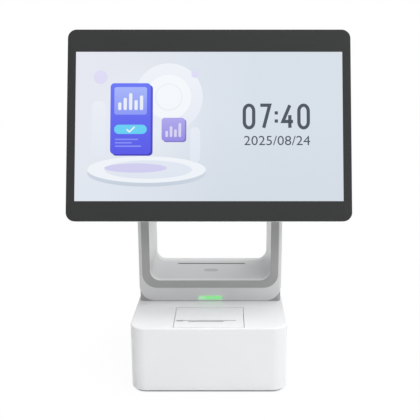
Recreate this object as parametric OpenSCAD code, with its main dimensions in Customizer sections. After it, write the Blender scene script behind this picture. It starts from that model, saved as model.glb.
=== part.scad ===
/* [Display head] */
// Width of the cover glass
display_w = 366; // [350:1:390]
// Height of the cover glass
display_h = 249; // [240:1:262]
// Corner radius of the cover glass and the frame behind it
display_corner_r = 11.5; // [8:0.5:14]
// Thickness of the cover glass
glass_t = 2; // [1.5:0.1:2.6]
// Border of the glass at each side of the lit picture
border_side = 10.9; // [10.9:0.1:16]
// Border of the glass above the picture
border_top = 29.4; // [25:0.1:34]
// Border of the glass below the picture
border_bottom = 26; // [22:0.5:30]
// Thickness of the liquid crystal cell
cell_t = 1.6; // [1.2:0.1:2]
// Thickness of the backlight tray
backlight_t = 3.8; // [3:0.1:4.4]
// Depth from the front of the glass to the back of the front frame
frame_back = 9; // [8.5:0.5:12]
// Depth of the straight side wall of the head
head_edge_t = 13; // [12:0.5:16]
// Whole depth of the head at its flat back
head_depth = 30; // [28:0.5:32]
// Inset of the flat back from the outline of the glass
back_inset = 24; // [18:1:30]
// Wall of the rear shell
head_wall = 2.4; // [1.8:0.1:3]
// Lean of the display from upright at rest
display_tilt = 16.5; // [10:0.5:20]

/* [Hinge] */
// Distance of the hinge axis behind the front of the glass
hinge_behind_glass = 50; // [49:0.5:54]
// Height of the hinge axis above the lower edge of the glass, along the glass
hinge_above_edge = 95; // [88:1:104]
// Distance of the hinge axis from the middle of the base, towards the back
hinge_y = 17; // [14:0.5:22]
// Height of the hinge axis above the table
hinge_z = 291; // [282:1:300]
// Radius of the hinge pins
hinge_pin_r = 5; // [4:0.25:6]
// Radial running clearance of a turning shaft
run_clear = 0.05; // [0.03:0.01:0.09]
// Thickness of the folded hinge plate
hinge_plate_t = 2; // [1.5:0.1:3]

/* [Neck] */
// Width over the two arms
neck_w = 196; // [190:1:198]
// Depth of the neck
neck_d = 106; // [96:1:110]
// Distance of the front of the neck from the middle of the base
neck_front_y = -8; // [-12:0.5:-4]
// Radius of the upright outer edges
neck_edge_r = 4.4; // [3:0.2:4.4]
// Radius of the round top of each arm
arm_top_r = 18; // [16:0.5:18.5]
// Thickness of each arm, from its outer face to the opening
arm_t = 15.2; // [14:0.2:17]
// Height of the shelf between the arms above the table
shelf_z = 117; // [114:0.5:120]
// Radius of the lower corners of the opening
opening_r = 14; // [10:0.5:15]
// Radius of the lower outer corners of the neck, seen from the front
neck_low_r = 22; // [18:0.5:23]
// Wall of the outer neck shell
neck_wall = 2.2; // [1.8:0.1:2.8]
// Wall of the inner liner
liner_t = 1.8; // [1.4:0.1:2.4]
// Width of the dark trim round the front of the opening
trim_w = 10.6; // [9:0.2:12]
// Depth of the dark trim in the front of the shell
trim_t = 2; // [1.4:0.1:2.6]
// Length of the card slot
card_slot_l = 99; // [92:1:110]
// Width of the card slot
card_slot_w = 3.4; // [2.6:0.1:3.8]
// Distance of the card slot from the front of the neck
card_slot_back = 79; // [72:1:84]
// Length of the status light
light_l = 33; // [26:1:40]
// Height of the status light
light_h = 5.4; // [4:0.2:6]
// Height of the middle of the status light above the base
light_up = 5; // [4.8:0.1:6]
// Thickness of the steel arm plates
arm_plate_t = 3; // [2:0.25:4]

/* [Base] */
// Width of the base
base_w = 200; // [198:1:215]
// Depth of the base
base_d = 210; // [208:1:222]
// Height of the top of the base above the table
base_h = 87.6; // [86:0.2:92]
// Radius of the upright corners of the base
base_corner_r = 20; // [16:0.5:24]
// Rounding of the top edge of the base
base_edge_r = 1.8; // [1.5:0.1:3.4]
// Wall of the base cover
base_wall = 2.5; // [2:0.1:3]
// Height of the rubber feet below the base plate
foot_h = 3.4; // [3:0.1:4]
// Radius of the rubber feet
foot_r = 9; // [7:0.5:10]
// Thickness of the steel base plate
base_plate_t = 2; // [1.5:0.1:2.5]

/* [Printer] */
// Distance of the middle of the paper from the middle of the base
paper_x = -4; // [-4.4:0.2:-3.6]
// Width of the printer lid
lid_w = 89; // [88.6:0.1:92]
// Distance of the back edge of the paper slot from the front of the base
slot_from_front = 28.1; // [27.5:0.1:28.5]
// Distance of the lid hinge axis from the front of the base
lid_axis_from_front = 70.2; // [69:0.1:71]
// Thickness of the lid
lid_t = 2.5; // [2:0.1:3]
// Radius of the lid hinge pin
lid_pin_r = 1.5; // [1.2:0.1:1.7]
// Gap round the lid
lid_gap = 0.6; // [0.4:0.1:0.8]
// Width of the paper slot
paper_slot_w = 2.4; // [1.8:0.1:2.8]
// Radius of the platen roller
platen_r = 5; // [4.6:0.1:5]
// Radius of a full paper roll
roll_r = 19.5; // [16:0.5:19.5]
// Width of the paper roll
roll_w = 75; // [70:0.5:75.5]
// Gap between the roll and the paper bucket
roll_gap = 0.8; // [0.5:0.1:0.9]
// Module of the printer gears
gear_module = 0.5; // [0.45:0.01:0.5]
// Teeth of the platen gear
platen_teeth = 20; // [18:1:20]
// Teeth of the idler gear
idler_teeth = 40; // [38:1:40]
// Teeth of the motor pinion
pinion_teeth = 12; // [10:1:12]
// Thickness of the printer gears
gear_t = 1.8; // [1.4:0.1:1.8]

/* [Buttons] */
// Distance of the feed button from the front of the base
feed_from_front = 47; // [44:1:50]
// Distance of the power button from the back of the base
power_from_back = 43; // [42:1:46]
// Radius of the power button
power_r = 6; // [5:0.25:7]
// Radius of the feed button
feed_r = 4.5; // [4:0.25:5.5]
// Travel of each button
button_travel = 1.2; // [0.8:0.1:1.5]
// Gap round each button
button_gap = 0.3; // [0.2:0.05:0.4]

/* [Hidden] */
$fn = 96;
eps = 0.01;
board_t = 1.6;

// Display head, measured from the front of the glass and its middle
picture_w = display_w - 2 * border_side;
picture_h = display_h - border_top - border_bottom;
picture_z = -display_h / 2 + border_bottom + picture_h / 2;
cell_w = picture_w + 6.5;
cell_h = picture_h + 11.4;
pocket_play = 0.5;
cell_y = glass_t;
tray_y = cell_y + cell_t;
tray_back = tray_y + backlight_t;
back_w = display_w - 2 * back_inset;
back_h = display_h - 2 * back_inset;
inner_back_y = head_depth - head_wall;
hinge_mid_z = hinge_above_edge - display_h / 2;

// Hinge
opening_w = neck_w - 2 * arm_t;
washer_t = 5;
washer_play = 0.2;
ear_outer_x = opening_w / 2 - washer_t - 2 * washer_play;
ear_inner_x = ear_outer_x - hinge_plate_t;
ear_r = 9;
hinge_plate_w = 2 * ear_outer_x;
hinge_plate_h = 116;
hinge_plate_y = inner_back_y - hinge_plate_t;
nut_t = 4;
nut_r = 7.5;
pin_inner_x = ear_inner_x - nut_t - 1;
hinge_cover_r = 14;
hinge_cover_wall = 2;
hinge_cover_w = 2 * (ear_inner_x - 0.6);
head_screw_r = 1.5;
head_screw_head_r = 2.8;
head_screw_head_t = 1.2;
head_screw_sink = 1.4;
head_screw_inset = 6;
head_screw_play = 0.2;
head_screw_l = 6;
head_screw_places = [
    for (x = [-1, 1], z = [-1, 1])
        [x * (hinge_plate_w / 2 - head_screw_inset), hinge_mid_z + z * (hinge_plate_h / 2 - head_screw_inset)]
];

// Inside the head
lead_hole_r = 6;
vent_count = 15;
vent_pitch = 8;
vent_l = 30;
vent_w = 2.2;
vent_z = 62;
speaker_x = 118;
speaker_z = -62;
speaker_w = 40;
speaker_h = 22;
speaker_t = 10;
mainboard_w = 150;
mainboard_h = 100;
mainboard_y = hinge_plate_y - 12;

// Neck
neck_back_y = neck_front_y + neck_d;
neck_mid_y = (neck_front_y + neck_back_y) / 2;
neck_seat = 0.7;
neck_z0 = base_h + neck_seat;
neck_foot_inset = 0.6;
neck_foot_r = 6;
neck_foot_wall = neck_wall - neck_foot_inset;
front_shoulder_z = hinge_z - 87;
back_shoulder_z = hinge_z - 113;
front_wall = trim_t + 1.4;
trim_bottom_z = shelf_z - 10;
trim_corner_r = opening_r + 6;
card_slot_y = neck_front_y + card_slot_back;
light_z = base_h + light_up;
plate_x = neck_w / 2 - neck_wall - 4.6 - arm_plate_t;
plate_y0 = neck_front_y + 18;
plate_y1 = neck_back_y - 24;
plate_top_r = 12;
flange_l = 22;
neck_floor_z = neck_z0 + neck_wall;
neck_screw_x = plate_x - flange_l / 2;
neck_screw_ys = [plate_y0 + 10, plate_y1 - 10];
neck_screw_r = 2;
screw_clear = 0.25;
cable_hole_w = 60;
cable_hole_d = 26;
tap_y = neck_front_y + 48;
tap_l = 21;
tap_w = 13;
guide_h = 24;

// Base
cover_bottom_z = foot_h;
inner_w = base_w - 2 * base_wall;
inner_d = base_d - 2 * base_wall;
plate_play = 0.4;
base_plate_top = foot_h + base_plate_t;
foot_x = base_w / 2 - 30;
foot_y = base_d / 2 - 30;
boss_r = 4;
boss_x = base_w / 2 - 12;
boss_y = base_d / 2 - 26;
base_screw_r = 1.5;
cover_top_in = base_h - base_wall;
base_screw_l = 12;
base_screw_places = [
    for (x = [-1, 1], y = [-1, 1])
        [x * boss_x, y * boss_y]
];

// Printer, carried behind the front of the base
slot_back_y = -base_d / 2 + slot_from_front;
lid_axis_y = -base_d / 2 + lid_axis_from_front;
lid_axis_z = base_h - 3.4;
lid_nose_r = base_h - lid_axis_z;
aperture_w = lid_w + 2 * lid_gap;
aperture_y0 = -base_d / 2 + base_wall + 1;
aperture_y1 = lid_axis_y + lid_nose_r + lid_gap;
lug_r = 3.4;
lug_t = 3;
lug_z0 = lid_axis_z - lug_r;
lug_clear = 0.4;
lid_y0 = aperture_y0 + lid_gap;
slot_l = roll_w + 1.6;
platen_l = roll_w + 0.6;
platen_shaft_r = 2;
platen_y = slot_back_y + platen_r + 0.1;
platen_z = base_h - 8.3;
ear_x = platen_l / 2 + 0.4;
lid_ear_t = 1.6;
gear_x = paper_x + ear_x + lid_ear_t + 0.4;
head_lean = 20;
head_gap = 0.3;
head_plate_t = 2.4;
frame_x = aperture_w / 2 + 0.4;
frame_t = 1.4;
frame_y0 = -base_d / 2 + base_wall + 3;
frame_y1 = lid_axis_y + 12;
frame_z0 = 22;
frame_top = cover_top_in - 0.4;
roll_z = 46;
roll_y = slot_back_y + 25.4;
bucket_r = roll_r + roll_gap;
bucket_wall = 1.5;
bucket_in_w = roll_w + 1.6;
bucket_w = bucket_in_w + 2 * bucket_wall;
core_r = 7.5;
core_bore_r = 6.2;
roll_clear = 0.08;
spindle_r = core_bore_r - roll_clear;

// Gear train, from the platen down to the motor
idler_dir = 278;
pinion_dir = idler_dir - 180 + 11 * 360 / idler_teeth;
platen_pitch_r = gear_module * platen_teeth / 2;
idler_pitch_r = gear_module * idler_teeth / 2;
pinion_pitch_r = gear_module * pinion_teeth / 2;
idler_y = platen_y + (platen_pitch_r + idler_pitch_r) * cos(idler_dir);
idler_z = platen_z + (platen_pitch_r + idler_pitch_r) * sin(idler_dir);
motor_y = idler_y + (idler_pitch_r + pinion_pitch_r) * cos(pinion_dir);
motor_z = idler_z + (idler_pitch_r + pinion_pitch_r) * sin(pinion_dir);
motor_r = 8;
motor_l = 18;
motor_face_x = gear_x - 3.2;
recess_x0 = -27;
recess_x1 = 18;
recess_l = 9;
recess_deep = 1.2;
notch_l = 10;
notch_w = 1.4;
head_rod_y = -9.6;
head_rod_z = -3;
head_rod_r = 1.5;
axle_r = 1.5;
motor_shaft_r = 1;

// Buttons, on the right wall of the base
wall_x = base_w / 2;
feed_y = -base_d / 2 + feed_from_front;
feed_z = 58;
power_y = base_d / 2 - power_from_back;
power_z = 40;
button_proud = 1.6;
flange_t = 1.2;
flange_over = 1.6;
stem_l = 3;
switch_t = 3.6;
switch_face_x = wall_x - base_wall - 0.2 - flange_t - stem_l - button_travel - 0.2;
switch_back_x = switch_face_x - switch_t;

// Rear ports
port_panel_w = 124;
port_panel_h = 25;
port_panel_z = 25;
port_panel_t = 2;
port_lap = 3;
panel_y = base_d / 2 - base_wall - 0.2 - port_panel_t;
board_z = base_plate_top + 8;
board_top = board_z + board_t;
lan_x = -38;
lan_w = 16;
lan_h = 13.5;
lan_d = 21;
usb_xs = [-10, 12];
usb_w = 14.4;
usb_h = 7;
usb_d = 14;
inlet_x = 42;
inlet_w = 9;
inlet_h = 11;
inlet_d = 14;
inlet_r = 2.75;
port_front_y = panel_y + port_panel_t;

// Circuit boards in the base, between the pieces round them
io_board_w = port_panel_w;
io_board_y0 = neck_mid_y - 7;
io_board_y1 = panel_y - 0.3;
board_wall_gap = 7.5;
board_frame_gap = 5.1;
printer_board_x0 = -inner_w / 2 + board_wall_gap;
printer_board_x1 = -frame_x - frame_t - board_frame_gap;
printer_board_y0 = frame_y0 + 41.5;
printer_board_l = 80;

// Cable from the base, up one arm, through the hollow hinge pin and into the head
harness_r = 1.8;
harness_clear = 0.4;
harness_gap = 0.3;
bend_over = 0.04;
harness_arm_x = -(plate_x + arm_plate_t + harness_r + 0.6);
harness_arm_y = plate_y1 + 7;
harness_floor_z = neck_floor_z + arm_plate_t + harness_r + 1;
harness_up_x = -cable_hole_w / 2 + 6;
harness_side_x = -(plate_x - flange_l) + 4;
harness_end_x = -pin_inner_x + 6;
lead_x = -20;
socket_w = 12;
socket_d = 7;
socket_t = 5;
neck_harness_points = [
    [harness_up_x, neck_mid_y, board_top + socket_t],
    [harness_up_x, neck_mid_y, harness_floor_z],
    [harness_side_x, neck_mid_y, harness_floor_z],
    [harness_side_x, harness_arm_y, harness_floor_z],
    [harness_arm_x, harness_arm_y, harness_floor_z],
    [harness_arm_x, harness_arm_y, back_shoulder_z - 14],
    [harness_arm_x, hinge_y, hinge_z],
    [harness_end_x, hinge_y, hinge_z]
];
head_harness_points = [
    [lead_x, mainboard_y + board_t + socket_t, hinge_mid_z],
    [lead_x, hinge_behind_glass, hinge_mid_z],
    [harness_end_x + harness_gap, hinge_behind_glass, hinge_mid_z]
];

// Rectangle with round corners, about the origin
module round_rect(w, h, r) {
    square([w - 2 * r, h], center = true);
    square([w, h - 2 * r], center = true);
    for (x = [-1, 1], z = [-1, 1])
        translate([x * (w / 2 - r), z * (h / 2 - r)])
            circle(r);
}

// Slot with round ends, about the origin
module stadium(l, w) {
    square([l - w, w], center = true);
    for (x = [-1, 1])
        translate([x * (l - w) / 2, 0])
            circle(w / 2);
}

// Flat shape in X and Z, made solid from one depth to another
module upright(y0, y1) {
    translate([0, y1, 0])
        rotate([90, 0, 0])
            linear_extrude(y1 - y0)
                children();
}

// Flat shape in Y and Z, made solid from one side to another
module sideways(x0, x1) {
    translate([x0, 0, 0])
        rotate([90, 0, 90])
            linear_extrude(x1 - x0)
                children();
}

// Box from its lowest to its highest corner
module block(low, high) {
    translate(low)
        cube(high - low);
}

// Rod along X
module rod_x(x0, x1, r) {
    translate([x0, 0, 0])
        rotate([0, 90, 0])
            cylinder(h = x1 - x0, r = r);
}

// Puts its children on both sides, the second one mirrored
module both_sides() {
    children();
    mirror([1, 0, 0])
        children();
}

// Frame of the head: the glass front is at y = 0 and its middle at z = 0
module in_head() {
    translate([0, hinge_y, hinge_z])
        rotate([-display_tilt, 0, 0])
            translate([0, -hinge_behind_glass, -hinge_mid_z])
                children();
}

// Spur gear along X with straight flanks, one tooth pointing at the angle given
module spur_gear(teeth, t, bore_r, turn = 0) {
    pitch_r = gear_module * teeth / 2;
    tip_r = pitch_r + 0.9 * gear_module;
    root_r = pitch_r - 1.15 * gear_module;
    half = 90 / teeth;
    rotate([90, 0, 90])
        linear_extrude(t)
            difference() {
                union() {
                    circle(root_r);
                    for (i = [0 : teeth - 1])
                        rotate(turn + i * 360 / teeth)
                            polygon([
                                [root_r * 0.96, -root_r * sin(half * 1.25)],
                                [pitch_r, -pitch_r * sin(half * 0.86)],
                                [tip_r, -tip_r * sin(half * 0.42)],
                                [tip_r, tip_r * sin(half * 0.42)],
                                [pitch_r, pitch_r * sin(half * 0.86)],
                                [root_r * 0.96, root_r * sin(half * 1.25)]
                            ]);
                }
                circle(bore_r);
            }
}

module cover_glass() {
    color([0.16, 0.17, 0.17])
        in_head()
            upright(0, glass_t)
                round_rect(display_w, display_h, display_corner_r);
}

module lcd_cell() {
    color([0.86, 0.9, 0.95])
        in_head()
            upright(cell_y, tray_y)
                translate([0, picture_z])
                    square([cell_w, cell_h], center = true);
}

module backlight_tray() {
    color([0.75, 0.76, 0.78])
        in_head()
            difference() {
                upright(tray_y, tray_back)
                    translate([0, picture_z])
                        square([cell_w, cell_h], center = true);
                for (z = [-60, 60])
                    upright(tray_back - 1, tray_back + eps)
                        translate([0, picture_z + z])
                            round_rect(cell_w - 60, 60, 6);
            }
}

module front_frame() {
    lip = 1.2;
    color([0.93, 0.94, 0.94])
        in_head()
            difference() {
                upright(glass_t, frame_back)
                    round_rect(display_w, display_h, display_corner_r);
                upright(glass_t - eps, tray_back + 0.2)
                    translate([0, picture_z])
                        square([cell_w + 2 * pocket_play, cell_h + 2 * pocket_play], center = true);
                upright(tray_back, frame_back + eps)
                    translate([0, picture_z])
                        square([cell_w - 2 * lip, cell_h - 2 * lip], center = true);
            }
}

// Outer or inner form of the rear shell, drawn in by the wall
module shell_form(inset, y0, y1) {
    r = display_corner_r - inset;
    levels = [
        [y0, 0],
        [head_edge_t - inset, 0],
        [(head_edge_t + head_depth) / 2 - inset, back_inset * 0.42],
        [y1, back_inset]
    ];
    hull()
        for (l = levels, x = [-1, 1], z = [-1, 1])
            translate([
                x * (display_w / 2 - inset - l[1] - r),
                l[0],
                z * (display_h / 2 - inset - l[1] - r)
            ])
                rotate([90, 0, 0])
                    cylinder(h = eps, r = r, $fn = 32);
}

module rear_shell() {
    color([0.93, 0.94, 0.94])
        in_head()
            difference() {
                shell_form(0, frame_back + eps, head_depth);
                shell_form(head_wall, frame_back - 1, inner_back_y);
                for (p = head_screw_places)
                    translate([p[0], 0, p[1]]) {
                        upright(inner_back_y - 1, head_depth + 1)
                            circle(head_screw_r + head_screw_play);
                        upright(head_depth - head_screw_sink, head_depth + 1)
                            circle(head_screw_head_r + head_screw_play);
                    }
                both_sides()
                    block(
                        [ear_inner_x - 0.3, inner_back_y - 1, hinge_mid_z - ear_r - 1],
                        [ear_outer_x + 0.3, head_depth + 1, hinge_mid_z + ear_r + 1]
                    );
                upright(inner_back_y - 1, head_depth + 1)
                    for (i = [0 : vent_count - 1])
                        translate([(i - (vent_count - 1) / 2) * vent_pitch, vent_z])
                            rotate(90)
                                stadium(vent_l, vent_w);
                both_sides()
                    upright(inner_back_y - 1, head_depth + 1)
                        for (i = [0 : 5])
                            translate([speaker_x + (i - 2.5) * 5, speaker_z])
                                rotate(90)
                                    stadium(14, 1.8);
                upright(inner_back_y - 1, head_depth + 1)
                    translate([lead_x, hinge_mid_z])
                        circle(lead_hole_r);
            }
}

module head_speakers() {
    color([0.15, 0.15, 0.16])
        in_head()
            both_sides()
                difference() {
                    upright(inner_back_y - speaker_t, inner_back_y)
                        translate([speaker_x, speaker_z])
                            round_rect(speaker_w, speaker_h, 3);
                    upright(inner_back_y - 2, inner_back_y + eps)
                        translate([speaker_x, speaker_z])
                            stadium(speaker_w - 8, speaker_h - 8);
                }
}

module head_screws() {
    seat_y = head_depth - head_screw_sink;
    color([0.5, 0.5, 0.52])
        in_head()
            for (p = head_screw_places)
                translate([p[0], 0, p[1]])
                    difference() {
                        union() {
                            upright(seat_y - head_screw_l, seat_y + eps)
                                circle(head_screw_r);
                            upright(seat_y, seat_y + head_screw_head_t)
                                circle(head_screw_head_r);
                        }
                        upright(seat_y + head_screw_head_t / 2, seat_y + head_screw_head_t + 1)
                            for (a = [0, 90])
                                rotate(a)
                                    square([head_screw_head_r * 1.2, 0.6], center = true);
                    }
}

module hinge_plate() {
    color([0.62, 0.63, 0.65])
        in_head()
            difference() {
                union() {
                    upright(hinge_plate_y, inner_back_y)
                        translate([0, hinge_mid_z])
                            round_rect(hinge_plate_w, hinge_plate_h, 4);
                    both_sides()
                        translate([ear_inner_x, 0, 0]) {
                            block(
                                [0, hinge_plate_y, hinge_mid_z - ear_r],
                                [hinge_plate_t, hinge_behind_glass, hinge_mid_z + ear_r]
                            );
                            translate([0, hinge_behind_glass, hinge_mid_z])
                                rod_x(0, hinge_plate_t, ear_r);
                        }
                }
                both_sides()
                    translate([ear_inner_x - 1, hinge_behind_glass, hinge_mid_z])
                        rod_x(0, hinge_plate_t + 2, hinge_pin_r + run_clear);
                upright(hinge_plate_y - 1, inner_back_y + 1) {
                    translate([lead_x, hinge_mid_z])
                        circle(lead_hole_r);
                    for (p = head_screw_places)
                        translate(p)
                            circle(head_screw_r);
                }
            }
}

module hinge_cover() {
    foot_y0 = head_depth;
    color([0.9, 0.91, 0.91])
        in_head()
            difference() {
                union() {
                    translate([0, hinge_behind_glass, hinge_mid_z])
                        rod_x(-hinge_cover_w / 2, hinge_cover_w / 2, hinge_cover_r);
                    block(
                        [-hinge_cover_w / 2, foot_y0, hinge_mid_z - hinge_cover_r],
                        [hinge_cover_w / 2, hinge_behind_glass, hinge_mid_z + hinge_cover_r]
                    );
                }
                translate([0, hinge_behind_glass, hinge_mid_z])
                    rod_x(-hinge_cover_w / 2 - 1, hinge_cover_w / 2 + 1, hinge_cover_r - hinge_cover_wall);
                block(
                    [-hinge_cover_w / 2 - 1, foot_y0 - 1, hinge_mid_z - hinge_cover_r + hinge_cover_wall],
                    [hinge_cover_w / 2 + 1, hinge_behind_glass, hinge_mid_z + hinge_cover_r - hinge_cover_wall]
                );
            }
}

module mainboard() {
    color([0.1, 0.35, 0.2])
        in_head()
            translate([0, 0, hinge_mid_z]) {
                upright(mainboard_y, mainboard_y + board_t)
                    square([mainboard_w, mainboard_h], center = true);
                upright(mainboard_y + board_t, mainboard_y + board_t + socket_t)
                    translate([lead_x, 0])
                        square([socket_w, socket_d], center = true);
                for (x = [-50, -18, 54], z = [-26, 22])
                    upright(mainboard_y + board_t, mainboard_y + board_t + 2)
                        translate([x, z])
                            square([18, 18], center = true);
                for (x = [-1, 1], z = [-1, 1])
                    upright(mainboard_y + board_t, hinge_plate_y)
                        translate([x * (mainboard_w / 2 - 5), z * (mainboard_h / 2 - 5)])
                            circle(3);
            }
}

module mainboard_heat_sink() {
    fins = 7;
    color([0.7, 0.71, 0.73])
        in_head()
            translate([18, 0, hinge_mid_z]) {
                upright(mainboard_y + board_t, mainboard_y + board_t + 2)
                    square([34, 40], center = true);
                for (i = [0 : fins - 1])
                    upright(mainboard_y + board_t + 2 - eps, mainboard_y + board_t + 9)
                        translate([(i - (fins - 1) / 2) * 5, 0])
                            square([1.4, 40], center = true);
            }
}

module hinge_pins() {
    end_x = plate_x + arm_plate_t + 0.4;
    color([0.72, 0.73, 0.75])
        both_sides()
            translate([0, hinge_y, hinge_z])
                difference() {
                    rod_x(pin_inner_x, end_x, hinge_pin_r);
                    rod_x(pin_inner_x - 1, end_x + 1, harness_r + harness_clear);
                }
}

module friction_washers() {
    color([0.75, 0.62, 0.3])
        both_sides()
            translate([0, hinge_y, hinge_z])
                difference() {
                    rod_x(ear_outer_x + washer_play, opening_w / 2 - washer_play, ear_r);
                    rod_x(ear_outer_x, opening_w / 2, hinge_pin_r);
                }
}

module hinge_nuts() {
    color([0.72, 0.73, 0.75])
        both_sides()
            translate([0, hinge_y, hinge_z])
                difference() {
                    translate([ear_inner_x - nut_t - 0.3, 0, 0])
                        rotate([0, 90, 0])
                            cylinder(h = nut_t, r = nut_r, $fn = 6);
                    rod_x(pin_inner_x - 1, ear_inner_x, hinge_pin_r);
                }
}

// Touching point on a circle of the line from a point outside it
function tangent_point(p, c, r, side) =
    let (d = norm(p - c), base = atan2(p[1] - c[1], p[0] - c[0]), a = acos(r / d))
    c + r * [cos(base + side * a), sin(base + side * a)];

// Direction from the middle of a circle to where that line touches it
function tangent_angle(p, c, r, side) =
    atan2(p[1] - c[1], p[0] - c[0]) + side * acos(r / norm(p - c));

// Side view of the neck in Y and Z, drawn in by an inset
module neck_side(i) {
    centre = [hinge_y, hinge_z];
    front = [neck_front_y + i, front_shoulder_z];
    back = [neck_back_y - i, back_shoulder_z];
    r = arm_top_r - i;
    steps = 28;
    a0 = tangent_angle(back, centre, r, 1);
    a1 = tangent_angle(front, centre, r, -1) + 360;
    polygon(concat(
        [
            front,
            [neck_front_y + i, neck_z0 + i],
            [neck_back_y - i, neck_z0 + i],
            back
        ],
        [
            for (k = [0 : steps])
                let (a = a0 + (a1 - a0) * k / steps)
                centre + r * [cos(a), sin(a)]
        ]
    ));
}

// Plan of the neck, drawn in by an inset
module neck_plan(i, r) {
    translate([0, neck_mid_y])
        round_rect(neck_w - 2 * i, neck_d - 2 * i, r);
}

// Whole outer form of the neck
module neck_form(i, r) {
    intersection() {
        sideways(-neck_w / 2 + i, neck_w / 2 - i)
            neck_side(i);
        translate([0, 0, base_h])
            linear_extrude(hinge_z)
                neck_plan(i, r);
    }
}

// Opening between the arms in X and Z, grown by a margin
module neck_opening(m, bottom_z = shelf_z, corner = opening_r) {
    w = opening_w + 2 * m;
    h = hinge_z;
    translate([0, bottom_z - m + h / 2])
        round_rect(w, h, corner + m);
    translate([-w / 2, bottom_z - m + h / 2])
        square([w, h / 2]);
}

// U-shaped outline of the dark trim in X and Z
module trim_outline() {
    w = opening_w + 2 * trim_w;
    h = hinge_z;
    difference() {
        union() {
            translate([0, trim_bottom_z + h / 2])
                round_rect(w, h, trim_corner_r);
            translate([-w / 2, trim_bottom_z + h / 2])
                square([w, h / 2]);
        }
        neck_opening(0);
    }
}

// Cuts that round the two lower outer corners over the whole depth
module low_corner_cuts() {
    both_sides()
        upright(neck_front_y - 1, neck_back_y + 1)
            difference() {
                translate([neck_w / 2 - neck_low_r, neck_z0 - 1])
                    square([neck_low_r + 1, neck_low_r + 1]);
                translate([neck_w / 2 - neck_low_r, neck_z0 + neck_low_r])
                    circle(neck_low_r);
            }
}

// Wall of the foot in its four upright corners
module foot_corners() {
    x0 = neck_w / 2 - neck_foot_inset - neck_foot_r;
    y0 = neck_d / 2 - neck_foot_inset - neck_foot_r;
    translate([0, neck_mid_y, base_h])
        linear_extrude(neck_seat + neck_low_r)
            for (i = [-1, 1], j = [-1, 1])
                scale([i, j])
                    difference() {
                        translate([x0, y0])
                            square(neck_foot_r);
                        translate([x0, y0])
                            circle(neck_foot_r - neck_foot_wall);
                    }
}

// Front layer of the neck, which follows its slope
module front_layer(t) {
    difference() {
        sideways(-neck_w / 2 - 1, neck_w / 2 + 1)
            neck_side(0);
        translate([0, t, 0])
            sideways(-neck_w / 2 - 2, neck_w / 2 + 2)
                neck_side(0);
        block([-neck_w, hinge_y, 0], [neck_w, neck_back_y + 20, hinge_z * 2]);
    }
}

module neck_shell() {
    color([0.76, 0.77, 0.78])
        difference() {
            union() {
                difference() {
                    neck_form(0, neck_edge_r);
                    low_corner_cuts();
                }
                translate([0, 0, base_h])
                    linear_extrude(neck_seat + neck_low_r)
                        neck_plan(neck_foot_inset, neck_foot_r);
            }
            difference() {
                neck_form(neck_wall, neck_edge_r - neck_wall);
                foot_corners();
                translate([0, front_wall - neck_wall, 0])
                    front_layer(neck_wall + eps);
                block([-neck_w, neck_front_y - 1, 0], [neck_w, neck_front_y + front_wall, front_shoulder_z]);
            }
            upright(neck_front_y - 1, neck_back_y + 1)
                neck_opening(liner_t);
            intersection() {
                front_layer(trim_t);
                upright(neck_front_y - 1, hinge_y)
                    trim_outline();
            }
            upright(neck_front_y - 1, neck_front_y + front_wall + 1)
                translate([0, light_z])
                    stadium(light_l, light_h);
            both_sides()
                for (y = neck_screw_ys)
                    translate([neck_screw_x, y, base_h - 1])
                        cylinder(h = neck_wall + 3, r = neck_screw_r + screw_clear);
            translate([0, neck_mid_y, base_h - 1])
                linear_extrude(neck_wall + 3)
                    round_rect(cable_hole_w, cable_hole_d, 4);
        }
}

module neck_liner() {
    color([0.84, 0.85, 0.85])
        difference() {
            intersection() {
                neck_form(0, neck_edge_r);
                upright(neck_front_y + trim_t, neck_back_y)
                    difference() {
                        neck_opening(liner_t);
                        neck_opening(0);
                    }
            }
            front_layer(trim_t);
            both_sides()
                translate([0, hinge_y, hinge_z])
                    rod_x(opening_w / 2 - 1, opening_w / 2 + liner_t + 1, hinge_pin_r + 0.4);
            translate([0, card_slot_y, shelf_z - liner_t - 1])
                linear_extrude(liner_t + 2)
                    stadium(card_slot_l, card_slot_w);
            translate([0, tap_y, shelf_z - liner_t - 1])
                linear_extrude(liner_t + 2)
                    stadium(tap_l, tap_w);
        }
}

module tap_window() {
    color([0.66, 0.68, 0.68])
        translate([0, tap_y, shelf_z - liner_t])
            linear_extrude(liner_t)
                stadium(tap_l, tap_w);
}

module neck_trim() {
    color([0.56, 0.57, 0.58])
        intersection() {
            front_layer(trim_t);
            upright(neck_front_y - 1, hinge_y)
                trim_outline();
        }
}

module arm_plate() {
    color([0.6, 0.61, 0.63])
        difference() {
            union() {
                sideways(plate_x, plate_x + arm_plate_t) {
                    polygon([
                        [plate_y0, neck_floor_z],
                        [plate_y1, neck_floor_z],
                        [plate_y1, back_shoulder_z - 20],
                        tangent_point([plate_y1, back_shoulder_z - 20], [hinge_y, hinge_z], plate_top_r, 1),
                        tangent_point([plate_y0, front_shoulder_z - 10], [hinge_y, hinge_z], plate_top_r, -1),
                        [plate_y0, front_shoulder_z - 10]
                    ]);
                    translate([hinge_y, hinge_z])
                        circle(plate_top_r);
                }
                block(
                    [plate_x - flange_l, plate_y0, neck_floor_z],
                    [plate_x + arm_plate_t, plate_y1, neck_floor_z + arm_plate_t]
                );
            }
            translate([0, hinge_y, hinge_z])
                rod_x(plate_x - 1, plate_x + arm_plate_t + 1, hinge_pin_r);
            for (y = neck_screw_ys)
                translate([neck_screw_x, y, neck_floor_z - 1])
                    cylinder(h = arm_plate_t + 2, r = neck_screw_r);
        }
}

module left_arm_plate() {
    mirror([1, 0, 0])
        arm_plate();
}

module right_arm_plate() {
    arm_plate();
}

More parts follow.
